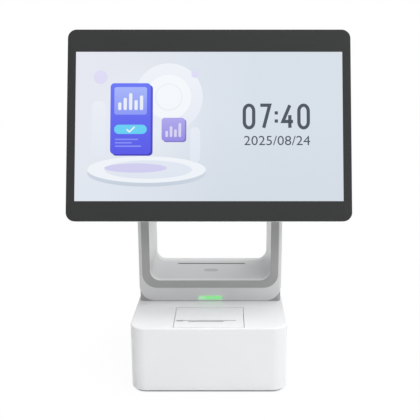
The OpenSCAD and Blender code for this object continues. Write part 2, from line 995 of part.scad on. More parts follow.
module neck_screws() {
    head_h = 3;
    color([0.5, 0.5, 0.52])
        both_sides()
            for (y = neck_screw_ys)
                translate([neck_screw_x, y, 0]) {
                    translate([0, 0, cover_top_in - head_h])
                        cylinder(h = head_h, r = 2 * neck_screw_r);
                    translate([0, 0, cover_top_in - 1])
                        cylinder(h = neck_floor_z + arm_plate_t + 1 - cover_top_in, r = neck_screw_r);
                }
}

// Round cable through the points, with a ball at each bend and flat ends
module cable(points, r) {
    for (i = [0 : len(points) - 2]) {
        d = points[i + 1] - points[i];
        translate(points[i])
            rotate([0, acos(d[2] / norm(d)), atan2(d[1], d[0])])
                cylinder(h = norm(d), r = r);
    }
    for (i = [1 : len(points) - 2])
        translate(points[i])
            sphere(r + bend_over);
}

module neck_harness() {
    color([0.1, 0.1, 0.1])
        cable(neck_harness_points, harness_r);
}

module head_harness() {
    color([0.1, 0.1, 0.1])
        in_head()
            cable(head_harness_points, harness_r);
}

module card_guide() {
    color([0.2, 0.2, 0.21])
        translate([0, card_slot_y, shelf_z - liner_t])
            difference() {
                translate([0, 0, -guide_h + eps])
                    linear_extrude(guide_h - eps)
                        round_rect(card_slot_l + 6, card_slot_w + 5, 2);
                translate([0, 0, -guide_h + 2])
                    linear_extrude(guide_h)
                        stadium(card_slot_l, card_slot_w);
            }
}

module card_reader_board() {
    top = shelf_z - liner_t - 1.2;
    color([0.1, 0.35, 0.2]) {
        translate([0, tap_y - 6, top - board_t])
            linear_extrude(board_t)
                round_rect(84, 44, 2);
        for (x = [-36, 36], y = [-16, 16])
            translate([x, tap_y - 6 + y, top])
                cylinder(h = 1.2, r = 2.5);
        translate([0, tap_y - 6, top - board_t - 1.6])
            linear_extrude(1.6)
                square([12, 12], center = true);
    }
}

module light_lens() {
    color([0.59, 0.91, 0.61])
        upright(neck_front_y, neck_front_y + front_wall)
            translate([0, light_z])
                stadium(light_l - 0.2, light_h - 0.2);
}

module light_board() {
    y = neck_front_y + front_wall;
    color([0.95, 0.95, 0.95]) {
        upright(y + 1, y + 2.6)
            translate([0, light_z + 1])
                square([light_l + 8, light_h], center = true);
        for (i = [-2 : 2])
            upright(y + 0.1, y + 1)
                translate([i * 6, light_z])
                    square([3, 2.4], center = true);
    }
}

// Base cover body: an upright box with round corners and a rounded top edge
module cover_form() {
    hull()
        for (x = [-1, 1], y = [-1, 1], a = [0, 30, 60, 90])
            translate([x * (base_w / 2 - base_corner_r), y * (base_d / 2 - base_corner_r), cover_bottom_z])
                cylinder(
                    h = base_h - cover_bottom_z - base_edge_r * (1 - sin(a)),
                    r = base_corner_r - base_edge_r * (1 - cos(a)),
                    $fn = 32
                );
}

module base_cover() {
    color([0.95, 0.95, 0.95])
        difference() {
            union() {
                difference() {
                    cover_form();
                    translate([0, 0, cover_bottom_z - 1])
                        linear_extrude(cover_top_in - cover_bottom_z + 1)
                            round_rect(inner_w, inner_d, base_corner_r - base_wall);
                }
                for (p = base_screw_places)
                    translate([p[0], p[1], base_plate_top])
                        cylinder(h = cover_top_in - base_plate_top + eps, r = boss_r);
                both_sides()
                    block(
                        [aperture_w / 2, lid_axis_y - lug_r, lug_z0],
                        [aperture_w / 2 + lug_t, lid_axis_y + lug_r, cover_top_in + eps]
                    );
            }
            translate([0, lid_axis_y, lid_axis_z])
                rod_x(-aperture_w / 2 - lug_t, aperture_w / 2 + lug_t, lid_pin_r);
            for (p = base_screw_places)
                translate([p[0], p[1], base_plate_top - 1])
                    cylinder(h = base_screw_l - base_plate_t + 1, r = base_screw_r);
            block(
                [-aperture_w / 2, aperture_y0, cover_top_in - 1],
                [aperture_w / 2, aperture_y1, base_h + 1]
            );
            translate([0, neck_mid_y, cover_top_in - 1])
                linear_extrude(base_wall + 2)
                    round_rect(cable_hole_w, cable_hole_d, 4);
            both_sides()
                for (y = neck_screw_ys)
                    translate([neck_screw_x, y, cover_top_in - 1])
                        cylinder(h = base_wall + 2, r = neck_screw_r + screw_clear);
            translate([wall_x - base_wall - 1, feed_y, feed_z])
                rod_x(0, base_wall + 2, feed_r + button_gap);
            translate([wall_x - base_wall - 1, power_y, power_z])
                rod_x(0, base_wall + 2, power_r + button_gap);
            upright(base_d / 2 - base_wall - 1, base_d / 2 + 1)
                translate([0, port_panel_z])
                    round_rect(port_panel_w, port_panel_h, 3);
        }
}

module base_plate() {
    color([0.55, 0.56, 0.58])
        difference() {
            translate([0, 0, foot_h])
                linear_extrude(base_plate_t)
                    round_rect(inner_w - 2 * plate_play, inner_d - 2 * plate_play, base_corner_r - base_wall - plate_play);
            for (p = base_screw_places)
                translate([p[0], p[1], foot_h - 1])
                    cylinder(h = base_plate_t + 2, r = base_screw_r);
            for (i = [-5 : 5])
                translate([i * 6, -20, foot_h - 1])
                    linear_extrude(base_plate_t + 2)
                        rotate(90)
                            stadium(24, 2.2);
        }
}

module rubber_feet() {
    color([0.12, 0.12, 0.12])
        for (x = [-foot_x, foot_x], y = [-foot_y, foot_y])
            translate([x, y, 0])
                difference() {
                    cylinder(h = foot_h, r = foot_r);
                    translate([0, 0, -1])
                        cylinder(h = 1.8, r = foot_r / 2);
                }
}

module base_screws() {
    color([0.5, 0.5, 0.52])
        for (p = base_screw_places)
            translate([p[0], p[1], 0]) {
                translate([0, 0, foot_h - 1.4])
                    cylinder(h = 1.4, r = 2 * base_screw_r);
                translate([0, 0, foot_h - 0.5])
                    cylinder(h = base_screw_l + 0.5, r = base_screw_r);
            }
}

module printer_lid() {
    slot_front_y = slot_back_y - paper_slot_w;
    color([0.95, 0.95, 0.95])
        difference() {
            union() {
                block([-lid_w / 2, lid_y0, base_h - lid_t], [lid_w / 2, lid_axis_y, base_h]);
                translate([0, lid_axis_y, lid_axis_z])
                    rod_x(-lid_w / 2, lid_w / 2, lid_nose_r);
                for (x = [-ear_x - lid_ear_t, ear_x])
                    translate([paper_x + x, 0, 0]) {
                        block(
                            [0, platen_y - platen_shaft_r - 1.4, platen_z],
                            [lid_ear_t, platen_y + platen_shaft_r + 1.4, base_h - lid_t + eps]
                        );
                        translate([0, platen_y, platen_z])
                            rod_x(0, lid_ear_t, platen_shaft_r + 1.4);
                    }
            }
            translate([0, lid_axis_y, lid_axis_z])
                rod_x(-lid_w / 2 - 1, lid_w / 2 + 1, lid_pin_r + run_clear);
            translate([paper_x - lid_w, platen_y, platen_z])
                rod_x(0, 2 * lid_w, platen_shaft_r + run_clear);
            block(
                [paper_x - slot_l / 2, slot_front_y, base_h - lid_t - 1],
                [paper_x + slot_l / 2, slot_back_y, base_h + 1]
            );
            block(
                [paper_x - slot_l / 2, slot_front_y - notch_w, base_h - lid_t - 1],
                [paper_x - slot_l / 2 + notch_l, slot_front_y + 1, base_h + 1]
            );
            block(
                [recess_x0, slot_front_y - recess_l, base_h - recess_deep],
                [recess_x1, slot_front_y + 1, base_h + 1]
            );
        }
}

module lid_hinge_pin() {
    color([0.72, 0.73, 0.75])
        translate([0, lid_axis_y, lid_axis_z])
            rod_x(-aperture_w / 2 - lug_t, aperture_w / 2 + lug_t, lid_pin_r);
}

module platen_roller() {
    color([0.16, 0.16, 0.17])
        translate([paper_x, platen_y, platen_z])
            difference() {
                rod_x(-platen_l / 2, platen_l / 2, platen_r);
                rod_x(-platen_l, platen_l, platen_shaft_r);
            }
}

module platen_shaft() {
    color([0.75, 0.76, 0.78])
        translate([0, platen_y, platen_z])
            rod_x(paper_x - ear_x - lid_ear_t - 0.4, gear_x + gear_t + 0.4, platen_shaft_r);
}

module platen_gear() {
    color([0.93, 0.93, 0.9])
        translate([gear_x, platen_y, platen_z])
            spur_gear(platen_teeth, gear_t, platen_shaft_r, idler_dir);
}

module tear_bar() {
    slot_front_y = slot_back_y - paper_slot_w;
    bar_t = 0.8;
    color([0.75, 0.76, 0.78])
        block(
            [paper_x - slot_l / 2 + notch_l + 0.6, slot_front_y - 4, base_h - lid_t - bar_t],
            [paper_x + slot_l / 2, slot_front_y + 0.5, base_h - lid_t]
        );
}

module print_head() {
    w = platen_l - 0.6;
    front = -platen_r - head_gap;
    color([0.45, 0.46, 0.48])
        translate([0, platen_y, platen_z])
            rotate([head_lean, 0, 0])
                union() {
                    block([paper_x - w / 2, front - head_plate_t, -6], [paper_x + w / 2, front, 5.6]);
                    block([paper_x - w / 2, front - 7, -5.5], [paper_x + w / 2, front - head_plate_t + eps, -0.5]);
                    translate([0, head_rod_y, head_rod_z])
                        rod_x(-frame_x - frame_t, frame_x + frame_t, head_rod_r);
                }
}

module printer_frame() {
    motor_wall_x = motor_face_x;
    motor_wall_t = 1.4;
    color([0.3, 0.31, 0.33])
        difference() {
            union() {
                both_sides()
                    sideways(frame_x, frame_x + frame_t)
                        polygon([
                            [frame_y0, frame_z0],
                            [frame_y1, frame_z0],
                            [frame_y1, lug_z0 - lug_r],
                            [lid_axis_y + lug_r, lug_z0 - lug_clear],
                            [lid_axis_y - lug_r - lug_clear, lug_z0 - lug_clear],
                            [lid_axis_y - lug_r - lug_clear, frame_top],
                            [platen_y - 16, frame_top],
                            [frame_y0, frame_z0 + 34]
                        ]);
                block([-frame_x - eps, frame_y0, frame_z0], [frame_x + eps, frame_y1, frame_z0 + frame_t]);
                block([-frame_x - eps, frame_y0, frame_z0], [frame_x + eps, frame_y0 + frame_t, frame_z0 + 34]);
                block(
                    [motor_wall_x, frame_y0, motor_z - motor_r - 2],
                    [motor_wall_x + motor_wall_t, motor_y + motor_r + 0.4, motor_z + motor_r + 1]
                );
                block(
                    [motor_wall_x, frame_y0, frame_z0],
                    [motor_wall_x + motor_wall_t, frame_y0 + 8, motor_z]
                );
                for (x = [-38, 38], y = [frame_y0 + 8, frame_y1 - 8])
                    translate([x, y, base_plate_top])
                        cylinder(h = frame_z0 - base_plate_top + eps, r = 3.5);
            }
            translate([0, platen_y, platen_z])
                rotate([head_lean, 0, 0])
                    translate([0, head_rod_y, head_rod_z])
                        rod_x(-frame_x - 5, frame_x + 5, head_rod_r);
            translate([frame_x - 1, idler_y, idler_z])
                rod_x(0, frame_t + 2, axle_r);
            translate([motor_wall_x - 1, motor_y, motor_z])
                rod_x(0, motor_wall_t + 2, 2.4);
        }
}

module paper_bucket() {
    top_z = frame_top - 13;
    outer_r = bucket_r + bucket_wall;
    color([0.2, 0.2, 0.21])
        translate([paper_x, 0, 0])
            difference() {
                union() {
                    translate([0, roll_y, roll_z])
                        rod_x(-bucket_w / 2, bucket_w / 2, outer_r);
                    block(
                        [-bucket_w / 2, roll_y - outer_r, roll_z],
                        [bucket_w / 2, roll_y + outer_r, top_z]
                    );
                    block(
                        [-bucket_w / 2, roll_y - 9, frame_z0 + frame_t],
                        [bucket_w / 2, roll_y + 9, roll_z]
                    );
                }
                translate([0, roll_y, roll_z])
                    rod_x(-bucket_in_w / 2, bucket_in_w / 2, bucket_r);
                block(
                    [-bucket_in_w / 2, roll_y - bucket_r, roll_z],
                    [bucket_in_w / 2, roll_y + bucket_r, top_z + 1]
                );
                translate([0, roll_y, roll_z])
                    rod_x(-bucket_w / 2 - 1, bucket_w / 2 + 1, spindle_r);
                block(
                    [-bucket_w / 2 - 1, roll_y - spindle_r, roll_z],
                    [bucket_w / 2 + 1, roll_y + spindle_r, top_z + 1]
                );
            }
}

module paper_roll() {
    color([0.97, 0.97, 0.95])
        translate([paper_x, roll_y, roll_z])
            difference() {
                rod_x(-roll_w / 2, roll_w / 2, roll_r);
                rod_x(-roll_w, roll_w, core_r);
            }
}

module roll_core() {
    color([0.75, 0.6, 0.42])
        translate([paper_x, roll_y, roll_z])
            difference() {
                rod_x(-roll_w / 2, roll_w / 2, core_r);
                rod_x(-roll_w, roll_w, core_bore_r);
            }
}

module roll_spindle() {
    color([0.85, 0.86, 0.86])
        translate([paper_x, roll_y, roll_z])
            rod_x(-bucket_w / 2, bucket_w / 2, spindle_r);
}

module printer_motor() {
    color([0.7, 0.71, 0.73])
        translate([motor_face_x - motor_l, motor_y, motor_z])
            difference() {
                rod_x(0, motor_l, motor_r);
                rod_x(motor_l - 8, motor_l + 1, motor_shaft_r + run_clear);
            }
}

module motor_pinion() {
    back_x = motor_face_x - 7;
    turn = pinion_dir + 180;
    color([0.8, 0.68, 0.35])
        translate([0, motor_y, motor_z]) {
            translate([gear_x, 0, 0])
                spur_gear(pinion_teeth, gear_t, motor_shaft_r - eps, turn);
            rod_x(back_x, gear_x + gear_t, motor_shaft_r);
        }
}

module idler_gear() {
    color([0.93, 0.93, 0.9])
        translate([gear_x, idler_y, idler_z])
            spur_gear(idler_teeth, gear_t, axle_r + run_clear, idler_dir - 180 + 180 / idler_teeth);
}

module idler_axle() {
    color([0.72, 0.73, 0.75])
        translate([0, idler_y, idler_z])
            union() {
                rod_x(gear_x - 0.3, frame_x + frame_t, axle_r);
                rod_x(gear_x + gear_t + 0.3, frame_x, axle_r + 1.5);
            }
}

// Button cap on the right wall, with the flange and stem behind it
module side_button(y, z, r) {
    inner_x = wall_x - base_wall - 0.2;
    translate([0, y, z]) {
        rod_x(inner_x - eps, wall_x + button_proud, r);
        rod_x(inner_x - flange_t, inner_x, r + flange_over);
        rod_x(inner_x - flange_t - stem_l, inner_x - flange_t + eps, 2);
    }
}

module feed_button() {
    color([0.8, 0.81, 0.82])
        side_button(feed_y, feed_z, feed_r);
}

module power_button() {
    color([0.8, 0.81, 0.82])
        side_button(power_y, power_z, power_r);
}

module button_switches() {
    color([0.12, 0.12, 0.13])
        for (p = [[feed_y, feed_z], [power_y, power_z]])
            block(
                [switch_back_x, p[0] - 3, p[1] - 3],
                [switch_face_x, p[0] + 3, p[1] + 3]
            );
}

module button_board() {
    color([0.1, 0.35, 0.2]) {
        block(
            [switch_back_x - board_t, feed_y - 8, power_z - 8],
            [switch_back_x, power_y + 8, feed_z + 8]
        );
        for (y = [feed_y + 14, power_y - 18])
            translate([0, y, (feed_z + power_z) / 2])
                rod_x(switch_back_x - eps, wall_x - base_wall, 3);
    }
}

module port_panel() {
    color([0.2, 0.2, 0.21])
        difference() {
            upright(panel_y, panel_y + port_panel_t)
                translate([0, port_panel_z])
                    round_rect(port_panel_w + 2 * port_lap, port_panel_h + 2 * port_lap, 3);
            upright(panel_y - 1, panel_y + port_panel_t + 1) {
                translate([lan_x, board_top + lan_h / 2])
                    square([lan_w + 0.4, lan_h + 0.4], center = true);
                for (x = usb_xs)
                    translate([x, board_top + usb_h / 2])
                        square([usb_w + 0.4, usb_h + 0.4], center = true);
                translate([inlet_x, board_top + inlet_h / 2])
                    square([inlet_w + 0.4, inlet_h + 0.4], center = true);
            }
        }
}

module network_port() {
    color([0.78, 0.79, 0.8])
        difference() {
            block(
                [lan_x - lan_w / 2, port_front_y - lan_d, board_top],
                [lan_x + lan_w / 2, port_front_y, board_top + lan_h]
            );
            block(
                [lan_x - 6, port_front_y - 14, board_top + 3],
                [lan_x + 6, port_front_y + 1, board_top + 11]
            );
        }
}

module usb_ports() {
    color([0.78, 0.79, 0.8])
        for (x = usb_xs)
            difference() {
                block(
                    [x - usb_w / 2, port_front_y - usb_d, board_top],
                    [x + usb_w / 2, port_front_y, board_top + usb_h]
                );
                difference() {
                    block(
                        [x - 6.25, port_front_y - 10, board_top + 1],
                        [x + 6.25, port_front_y + 1, board_top + 6]
                    );
                    block(
                        [x - 5.6, port_front_y - 11, board_top + 3.2],
                        [x + 5.6, port_front_y - 0.6, board_top + 5]
                    );
                }
            }
}

module power_inlet() {
    color([0.13, 0.13, 0.14])
        difference() {
            block(
                [inlet_x - inlet_w / 2, port_front_y - inlet_d, board_top],
                [inlet_x + inlet_w / 2, port_front_y, board_top + inlet_h]
            );
            difference() {
                translate([inlet_x, port_front_y + 1, board_top + inlet_h / 2])
                    rotate([90, 0, 0])
                        cylinder(h = 11, r = inlet_r);
                translate([inlet_x, port_front_y - 0.5, board_top + inlet_h / 2])
                    rotate([90, 0, 0])
                        cylinder(h = 12, r = 1.05);
            }
        }
}

// Circuit board on four posts, given its lowest and highest corners in plan
module posted_board(low, high) {
    difference() {
        block([low[0], low[1], board_z], [high[0], high[1], board_top]);
        for (x = [low[0] + 5, high[0] - 5], y = [low[1] + 5, high[1] - 5])
            translate([x, y, board_z - 1])
                cylinder(h = board_t + 2, r = 1.4);
    }
    for (x = [low[0] + 5, high[0] - 5], y = [low[1] + 5, high[1] - 5])
        translate([x, y, base_plate_top])
            difference() {
                cylinder(h = board_z - base_plate_top + eps, r = 2.8);
                translate([0, 0, board_z - base_plate_top - 6])
                    cylinder(h = 8, r = 1.4);
            }
}

module io_board() {
    y1 = io_board_y1;
    color([0.1, 0.35, 0.2]) {
        translate([harness_up_x, neck_mid_y, board_top - eps])
            linear_extrude(socket_t + eps)
                square([socket_w, socket_d], center = true);
        posted_board([-io_board_w / 2, io_board_y0], [io_board_w / 2, y1]);
        for (x = [-40, 0, 36])
            block([x - 8, y1 - 48, board_top - eps], [x + 8, y1 - 32, board_top + 2]);
        translate([48, y1 - 46, board_top - eps])
            cylinder(h = 12, r = 5);
    }
}

module printer_board() {
    mid_x = (printer_board_x0 + printer_board_x1) / 2;
    y0 = printer_board_y0;
    y1 = printer_board_y0 + printer_board_l;
    color([0.1, 0.35, 0.2]) {
        posted_board([printer_board_x0, y0], [printer_board_x1, y1]);
        block([mid_x - 9, y0 + 28, board_top - eps], [mid_x + 5, y0 + 42, board_top + 2]);
        translate([mid_x, y1 - 16, board_top - eps])
            cylinder(h = 10, r = 4);
    }
}

cover_glass();
lcd_cell();
backlight_tray();
front_frame();
rear_shell();
hinge_plate();
hinge_cover();
mainboard();
mainboard_heat_sink();
head_speakers();
head_screws();
hinge_pins();
friction_washers();
hinge_nuts();
neck_shell();
neck_liner();
neck_trim();
left_arm_plate();
right_arm_plate();
neck_screws();
neck_harness();
head_harness();
card_guide();
card_reader_board();
tap_window();
light_lens();
light_board();
base_cover();
base_plate();
rubber_feet();
base_screws();
printer_lid();
lid_hinge_pin();
platen_roller();
platen_shaft();
platen_gear();
tear_bar();
print_head();
printer_frame();
paper_bucket();
paper_roll();
roll_core();
roll_spindle();
printer_motor();
motor_pinion();
idler_gear();
idler_axle();
feed_button();
power_button();
button_switches();
button_board();
port_panel();
network_port();
usb_ports();
power_inlet();
io_board();
printer_board();
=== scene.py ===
import math

import bmesh
import bpy
from mathutils import Matrix, Vector


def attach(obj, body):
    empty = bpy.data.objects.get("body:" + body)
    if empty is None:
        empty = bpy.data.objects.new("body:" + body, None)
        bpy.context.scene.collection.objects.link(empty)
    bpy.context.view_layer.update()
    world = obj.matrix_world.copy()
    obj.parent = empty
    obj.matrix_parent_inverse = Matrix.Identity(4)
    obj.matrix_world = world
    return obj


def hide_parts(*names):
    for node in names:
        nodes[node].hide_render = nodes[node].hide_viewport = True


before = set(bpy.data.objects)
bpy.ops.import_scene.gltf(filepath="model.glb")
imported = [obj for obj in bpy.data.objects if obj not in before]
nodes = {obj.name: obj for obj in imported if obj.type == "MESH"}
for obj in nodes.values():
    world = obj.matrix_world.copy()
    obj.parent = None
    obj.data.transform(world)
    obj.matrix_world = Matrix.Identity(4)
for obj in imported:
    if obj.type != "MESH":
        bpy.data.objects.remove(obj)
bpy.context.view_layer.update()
mm = 0.001
print("frame loaded:", len(nodes), "pieces")

scene = bpy.context.scene
scene.view_settings.view_transform = "Standard"

cameraSet = {
    "place": (0.0232, -0.911, 0.430),
    "pitchDown": 13.25,
    "lens": 59.14,
    "sensor": 36.0,
    "shiftX": -0.0407,
}


def makeCamera(values):
    data = bpy.data.cameras.new("photoCamera")
    data.lens = values["lens"]
    data.sensor_width = values["sensor"]
    data.shift_x = values["shiftX"]
    data.clip_start = 0.01
    data.clip_end = 50
    camera = bpy.data.objects.new("photoCamera", data)
    camera.location = values["place"]
    camera.rotation_euler = (math.radians(90 - values["pitchDown"]), 0, 0)
    scene.collection.objects.link(camera)
    scene.camera = camera


makeCamera(cameraSet)

# each world pair is the strength from the left and from the right
worldSet = {"light": (0.38, 0.69), "mirrored": (0.47, 0.86), "span": 0.9}
lampSet = {
    "key": {
        "place": (0.9, -1.5, 1.9), "size": 1.4, "power": 15.6,
        "colour": (1.0, 0.99, 0.98), "mirrored": False,
    },
    "fill": {"place": (-1.4, -1.2, 1.0), "size": 1.8, "power": 0.4, "colour": (0.97, 0.99, 1.0)},
    "top": {"place": (0.5, 0.0, 2.2), "size": 1.6, "power": 30, "colour": (1.0, 1.0, 1.0)},
    "strip": {
        "place": (1.25, -1.25, 0.45), "size": 0.2, "tall": 1.3, "power": 1.0,
        "colour": (1.0, 1.0, 1.0),
    },
}
lampTarget = Vector((0, 0, 0.2))
floorSet = {
    "half": 6,
    "drop": 0.0002,
    "tone": 0.86,
    "nearShade": 0.05,
    "farShade": 0.004,
    "shadeReach": 130 * mm,
    "gapShade": 0.97,
    "gapEdge": (-4.5 * mm, -2.5 * mm),
    "footprint": (100 * mm, 105 * mm),
    "footprintCorner": 20 * mm,
}


def newMaterial(name):
    material = bpy.data.materials.new(name)
    material.use_nodes = True
    tree = material.node_tree
    shader = tree.nodes["Principled BSDF"]
    return material, tree, shader


def objectPoint(tree):
    return tree.nodes.new("ShaderNodeTexCoord").outputs["Object"]


def noiseAt(tree, point, size, detail=3, stretch=None):
    # size is that of one blotch, in metres
    if stretch:
        mapping = tree.nodes.new("ShaderNodeMapping")
        mapping.inputs["Scale"].default_value = stretch
        tree.links.new(point, mapping.inputs["Vector"])
        point = mapping.outputs["Vector"]
    noise = tree.nodes.new("ShaderNodeTexNoise")
    noise.inputs["Scale"].default_value = 1 / size
    noise.inputs["Detail"].default_value = detail
    tree.links.new(point, noise.inputs["Vector"])
    return noise.outputs["Fac"]


def between(tree, value, low, high, fromLow=0.3, fromHigh=0.7):
    ranger = tree.nodes.new("ShaderNodeMapRange")
    ranger.inputs["From Min"].default_value = fromLow
    ranger.inputs["From Max"].default_value = fromHigh
    ranger.inputs["To Min"].default_value = low
    ranger.inputs["To Max"].default_value = high
    tree.links.new(value, ranger.inputs["Value"])
    return ranger.outputs["Result"]


def sums(tree, operation, first, second=None):
    node = tree.nodes.new("ShaderNodeMath")
    node.operation = operation
    for socket, value in ((0, first), (1, second)):
        if value is None:
            continue
        if isinstance(value, (int, float)):
            node.inputs[socket].default_value = value
        else:
            tree.links.new(value, node.inputs[socket])
    return node.outputs[0]


def mixColours(tree, share, first, second):
    mix = tree.nodes.new("ShaderNodeMix")
    mix.data_type = "RGBA"
    for socket, value in ((6, first), (7, second)):
        if isinstance(value, tuple):
            mix.inputs[socket].default_value = (*value, 1)
        else:
            tree.links.new(value, mix.inputs[socket])
    tree.links.new(share, mix.inputs[0])
    return mix.outputs[2]


def distanceAlong(tree, point, origin, direction):
    # how far a point lies from origin along a direction, in metres
    shift = tree.nodes.new("ShaderNodeVectorMath")
    shift.operation = "SUBTRACT"
    shift.inputs[1].default_value = origin
    tree.links.new(point, shift.inputs[0])
    dot = tree.nodes.new("ShaderNodeVectorMath")
    dot.operation = "DOT_PRODUCT"
    dot.inputs[1].default_value = direction
    tree.links.new(shift.outputs["Vector"], dot.inputs[0])
    return dot.outputs["Value"]


def distanceFrom(tree, point, origin, keep=(1, 1, 1)):
    # distance from origin; keep 0 drops an axis, for the distance from a line
    shift = tree.nodes.new("ShaderNodeVectorMath")
    shift.operation = "SUBTRACT"
    shift.inputs[1].default_value = origin
    tree.links.new(point, shift.inputs[0])
    flat = tree.nodes.new("ShaderNodeVectorMath")
    flat.operation = "MULTIPLY"
    flat.inputs[1].default_value = keep
    tree.links.new(shift.outputs["Vector"], flat.inputs[0])
    length = tree.nodes.new("ShaderNodeVectorMath")
    length.operation = "LENGTH"
    tree.links.new(flat.outputs["Vector"], length.inputs[0])
    return length.outputs["Value"]


def partsOf(tree, point):
    # x, y and z of a point
    part = tree.nodes.new("ShaderNodeSeparateXYZ")
    tree.links.new(point, part.inputs[0])
    return part.outputs


def cornerDistance(tree, first, second):
    # distance round a corner, from how far a point is past each of its two sides
    squares = [
        sums(tree, "POWER", sums(tree, "MAXIMUM", value, 0.0), 2.0) for value in (first, second)
    ]
    return sums(tree, "SQRT", sums(tree, "ADD", *squares))


def seenBy(tree, *kinds):
    # 1 for rays of these kinds, else 0
    path = tree.nodes.new("ShaderNodeLightPath")
    last = path.outputs[kinds[0]]
    for other in kinds[1:]:
        last = sums(tree, "MAXIMUM", last, path.outputs[other])
    return last


def makeWorld(values):
    # white for the camera; as a light it is dimmer from the left
    world = bpy.data.worlds.new("studio")
    scene.world = world
    world.use_nodes = True
    tree = world.node_tree
    tree.nodes.clear()
    direction = tree.nodes.new("ShaderNodeSeparateXYZ")
    tree.links.new(tree.nodes.new("ShaderNodeTexCoord").outputs["Generated"], direction.inputs[0])
    span = values["span"]
    strength = between(tree, direction.outputs[0], *values["light"], -span, span)
    mirrored = between(tree, direction.outputs[0], *values["mirrored"], -span, span)
    replaced = {("Is Glossy Ray",): mirrored, ("Is Camera Ray", "Is Transmission Ray"): 1.0}
    for kinds, other in replaced.items():
        share = seenBy(tree, *kinds)
        kept = sums(tree, "MULTIPLY", strength, sums(tree, "SUBTRACT", 1.0, share))
        strength = sums(tree, "ADD", kept, sums(tree, "MULTIPLY", share, other))
    back = tree.nodes.new("ShaderNodeBackground")
    back.inputs["Color"].default_value = (1, 1, 1, 1)
    tree.links.new(strength, back.inputs["Strength"])
    out = tree.nodes.new("ShaderNodeOutputWorld")
    tree.links.new(back.outputs[0], out.inputs[0])


def makeLamp(name, values):
    data = bpy.data.lights.new(name, "AREA")
    data.shape = "RECTANGLE"
    data.size = values["size"]
    data.size_y = values.get("tall", values["size"])
    data.energy = values["power"]
    data.color = values["colour"]
    lamp = bpy.data.objects.new(name, data)
    lamp.location = values["place"]
    lamp.visible_glossy = values.get("mirrored", True)
    aim = lampTarget - Vector(values["place"])
    lamp.rotation_mode = "QUATERNION"
    lamp.rotation_quaternion = aim.to_track_quat("-Z", "Y")
    scene.collection.objects.link(lamp)


def beyondFootprint(tree, point, values):
    # how far a point lies outside the rounded outline of the base; less than 0 is under it
    part = partsOf(tree, point)
    corner = values["footprintCorner"]
    sides = []
    for axis in (0, 1):
        beside = sums(tree, "ABSOLUTE", part[axis])
        sides.append(sums(tree, "SUBTRACT", beside, values["footprint"][axis] - corner))
    return sums(tree, "SUBTRACT", cornerDistance(tree, *sides), corner)


def makeFloor(values):
    # white for the camera; its lit look is kept under the base, as the dark gap there
    mesh = bpy.data.meshes.new("floor")
    half = values["half"]
    corners = [(-half, -half, 0), (half, -half, 0), (half, half, 0), (-half, half, 0)]
    mesh.from_pydata(corners, [], [(0, 1, 2, 3)])
    floor = bpy.data.objects.new("floor", mesh)
    floor.location = (0, 0, -values["drop"])
    scene.collection.objects.link(floor)
    material = bpy.data.materials.new("floorPaper")
    material.use_nodes = True
    tree = material.node_tree
    tree.nodes.clear()
    lit = tree.nodes.new("ShaderNodeBsdfDiffuse")
    lit.inputs["Color"].default_value = (*[values["tone"]] * 3, 1)
    seen = tree.nodes.new("ShaderNodeEmission")
    seen.inputs["Color"].default_value = (1, 1, 1, 1)
    seen.inputs["Strength"].default_value = 1
    away = beyondFootprint(tree, objectPoint(tree), values)
    gap = between(tree, away, values["gapShade"], 0, *values["gapEdge"])
    near = between(tree, away, values["nearShade"], values["farShade"], 0, values["shadeReach"])
    whiteShare = sums(tree, "SUBTRACT", 1.0, sums(tree, "MAXIMUM", gap, near))
    mix = tree.nodes.new("ShaderNodeMixShader")
    out = tree.nodes.new("ShaderNodeOutputMaterial")
    shows = seenBy(tree, "Is Camera Ray", "Is Glossy Ray", "Is Transmission Ray")
    tree.links.new(sums(tree, "MULTIPLY", shows, whiteShare), mix.inputs[0])
    tree.links.new(lit.outputs[0], mix.inputs[1])
    tree.links.new(seen.outputs[0], mix.inputs[2])
    tree.links.new(mix.outputs[0], out.inputs[0])
    mesh.materials.append(material)


makeWorld(worldSet)
for lampName, values in lampSet.items():
    makeLamp(lampName, values)
makeFloor(floorSet)
print("camera, lamps and floor made")


def addBump(tree, shader, height, strength, distance, edge=0.0):
    bump = tree.nodes.new("ShaderNodeBump")
    bump.inputs["Strength"].default_value = strength
    bump.inputs["Distance"].default_value = distance
    tree.links.new(height, bump.inputs["Height"])
    if edge:
        bevel = tree.nodes.new("ShaderNodeBevel")
        bevel.samples = 4
        bevel.inputs["Radius"].default_value = edge
        tree.links.new(bevel.outputs["Normal"], bump.inputs["Normal"])
    tree.links.new(bump.outputs["Normal"], shader.inputs["Normal"])


def scaled(colour, share):
    return tuple(c * share for c in colour)


def paint(tree, shader, colour):
    tree.links.new(colour, shader.inputs["Base Color"])


def varyRough(tree, shader, pattern, rough, less, more):
    # roughness from rough - less to rough + more, after a pattern
    tree.links.new(between(tree, pattern, rough - less, rough + more), shader.inputs["Roughness"])


def satinFace(tree, shader, point, rough, edge, sway=0.02, patch=25 * mm, grain=0.6 * mm):
    # fine spark-eroded grain and a slow drift of gloss
    varyRough(tree, shader, noiseAt(tree, point, patch, 2), rough, sway, sway)
    addBump(tree, shader, noiseAt(tree, point, grain, 2), 0.35, 0.02 * mm, edge)


def mouldedPlastic(name, colour, rough, sway=0.02, gloss=0.5):
    # one colour with a slow drift of tone
    material, tree, shader = newMaterial(name)
    shader.inputs["Specular IOR Level"].default_value = gloss
    point = objectPoint(tree)
    drift = noiseAt(tree, point, 60 * mm, 2)
    tones = scaled(colour, 0.985), scaled(colour, 1.0075)
    paint(tree, shader, mixColours(tree, drift, *tones))
    satinFace(tree, shader, point, rough, 0.35 * mm, sway)
    return material


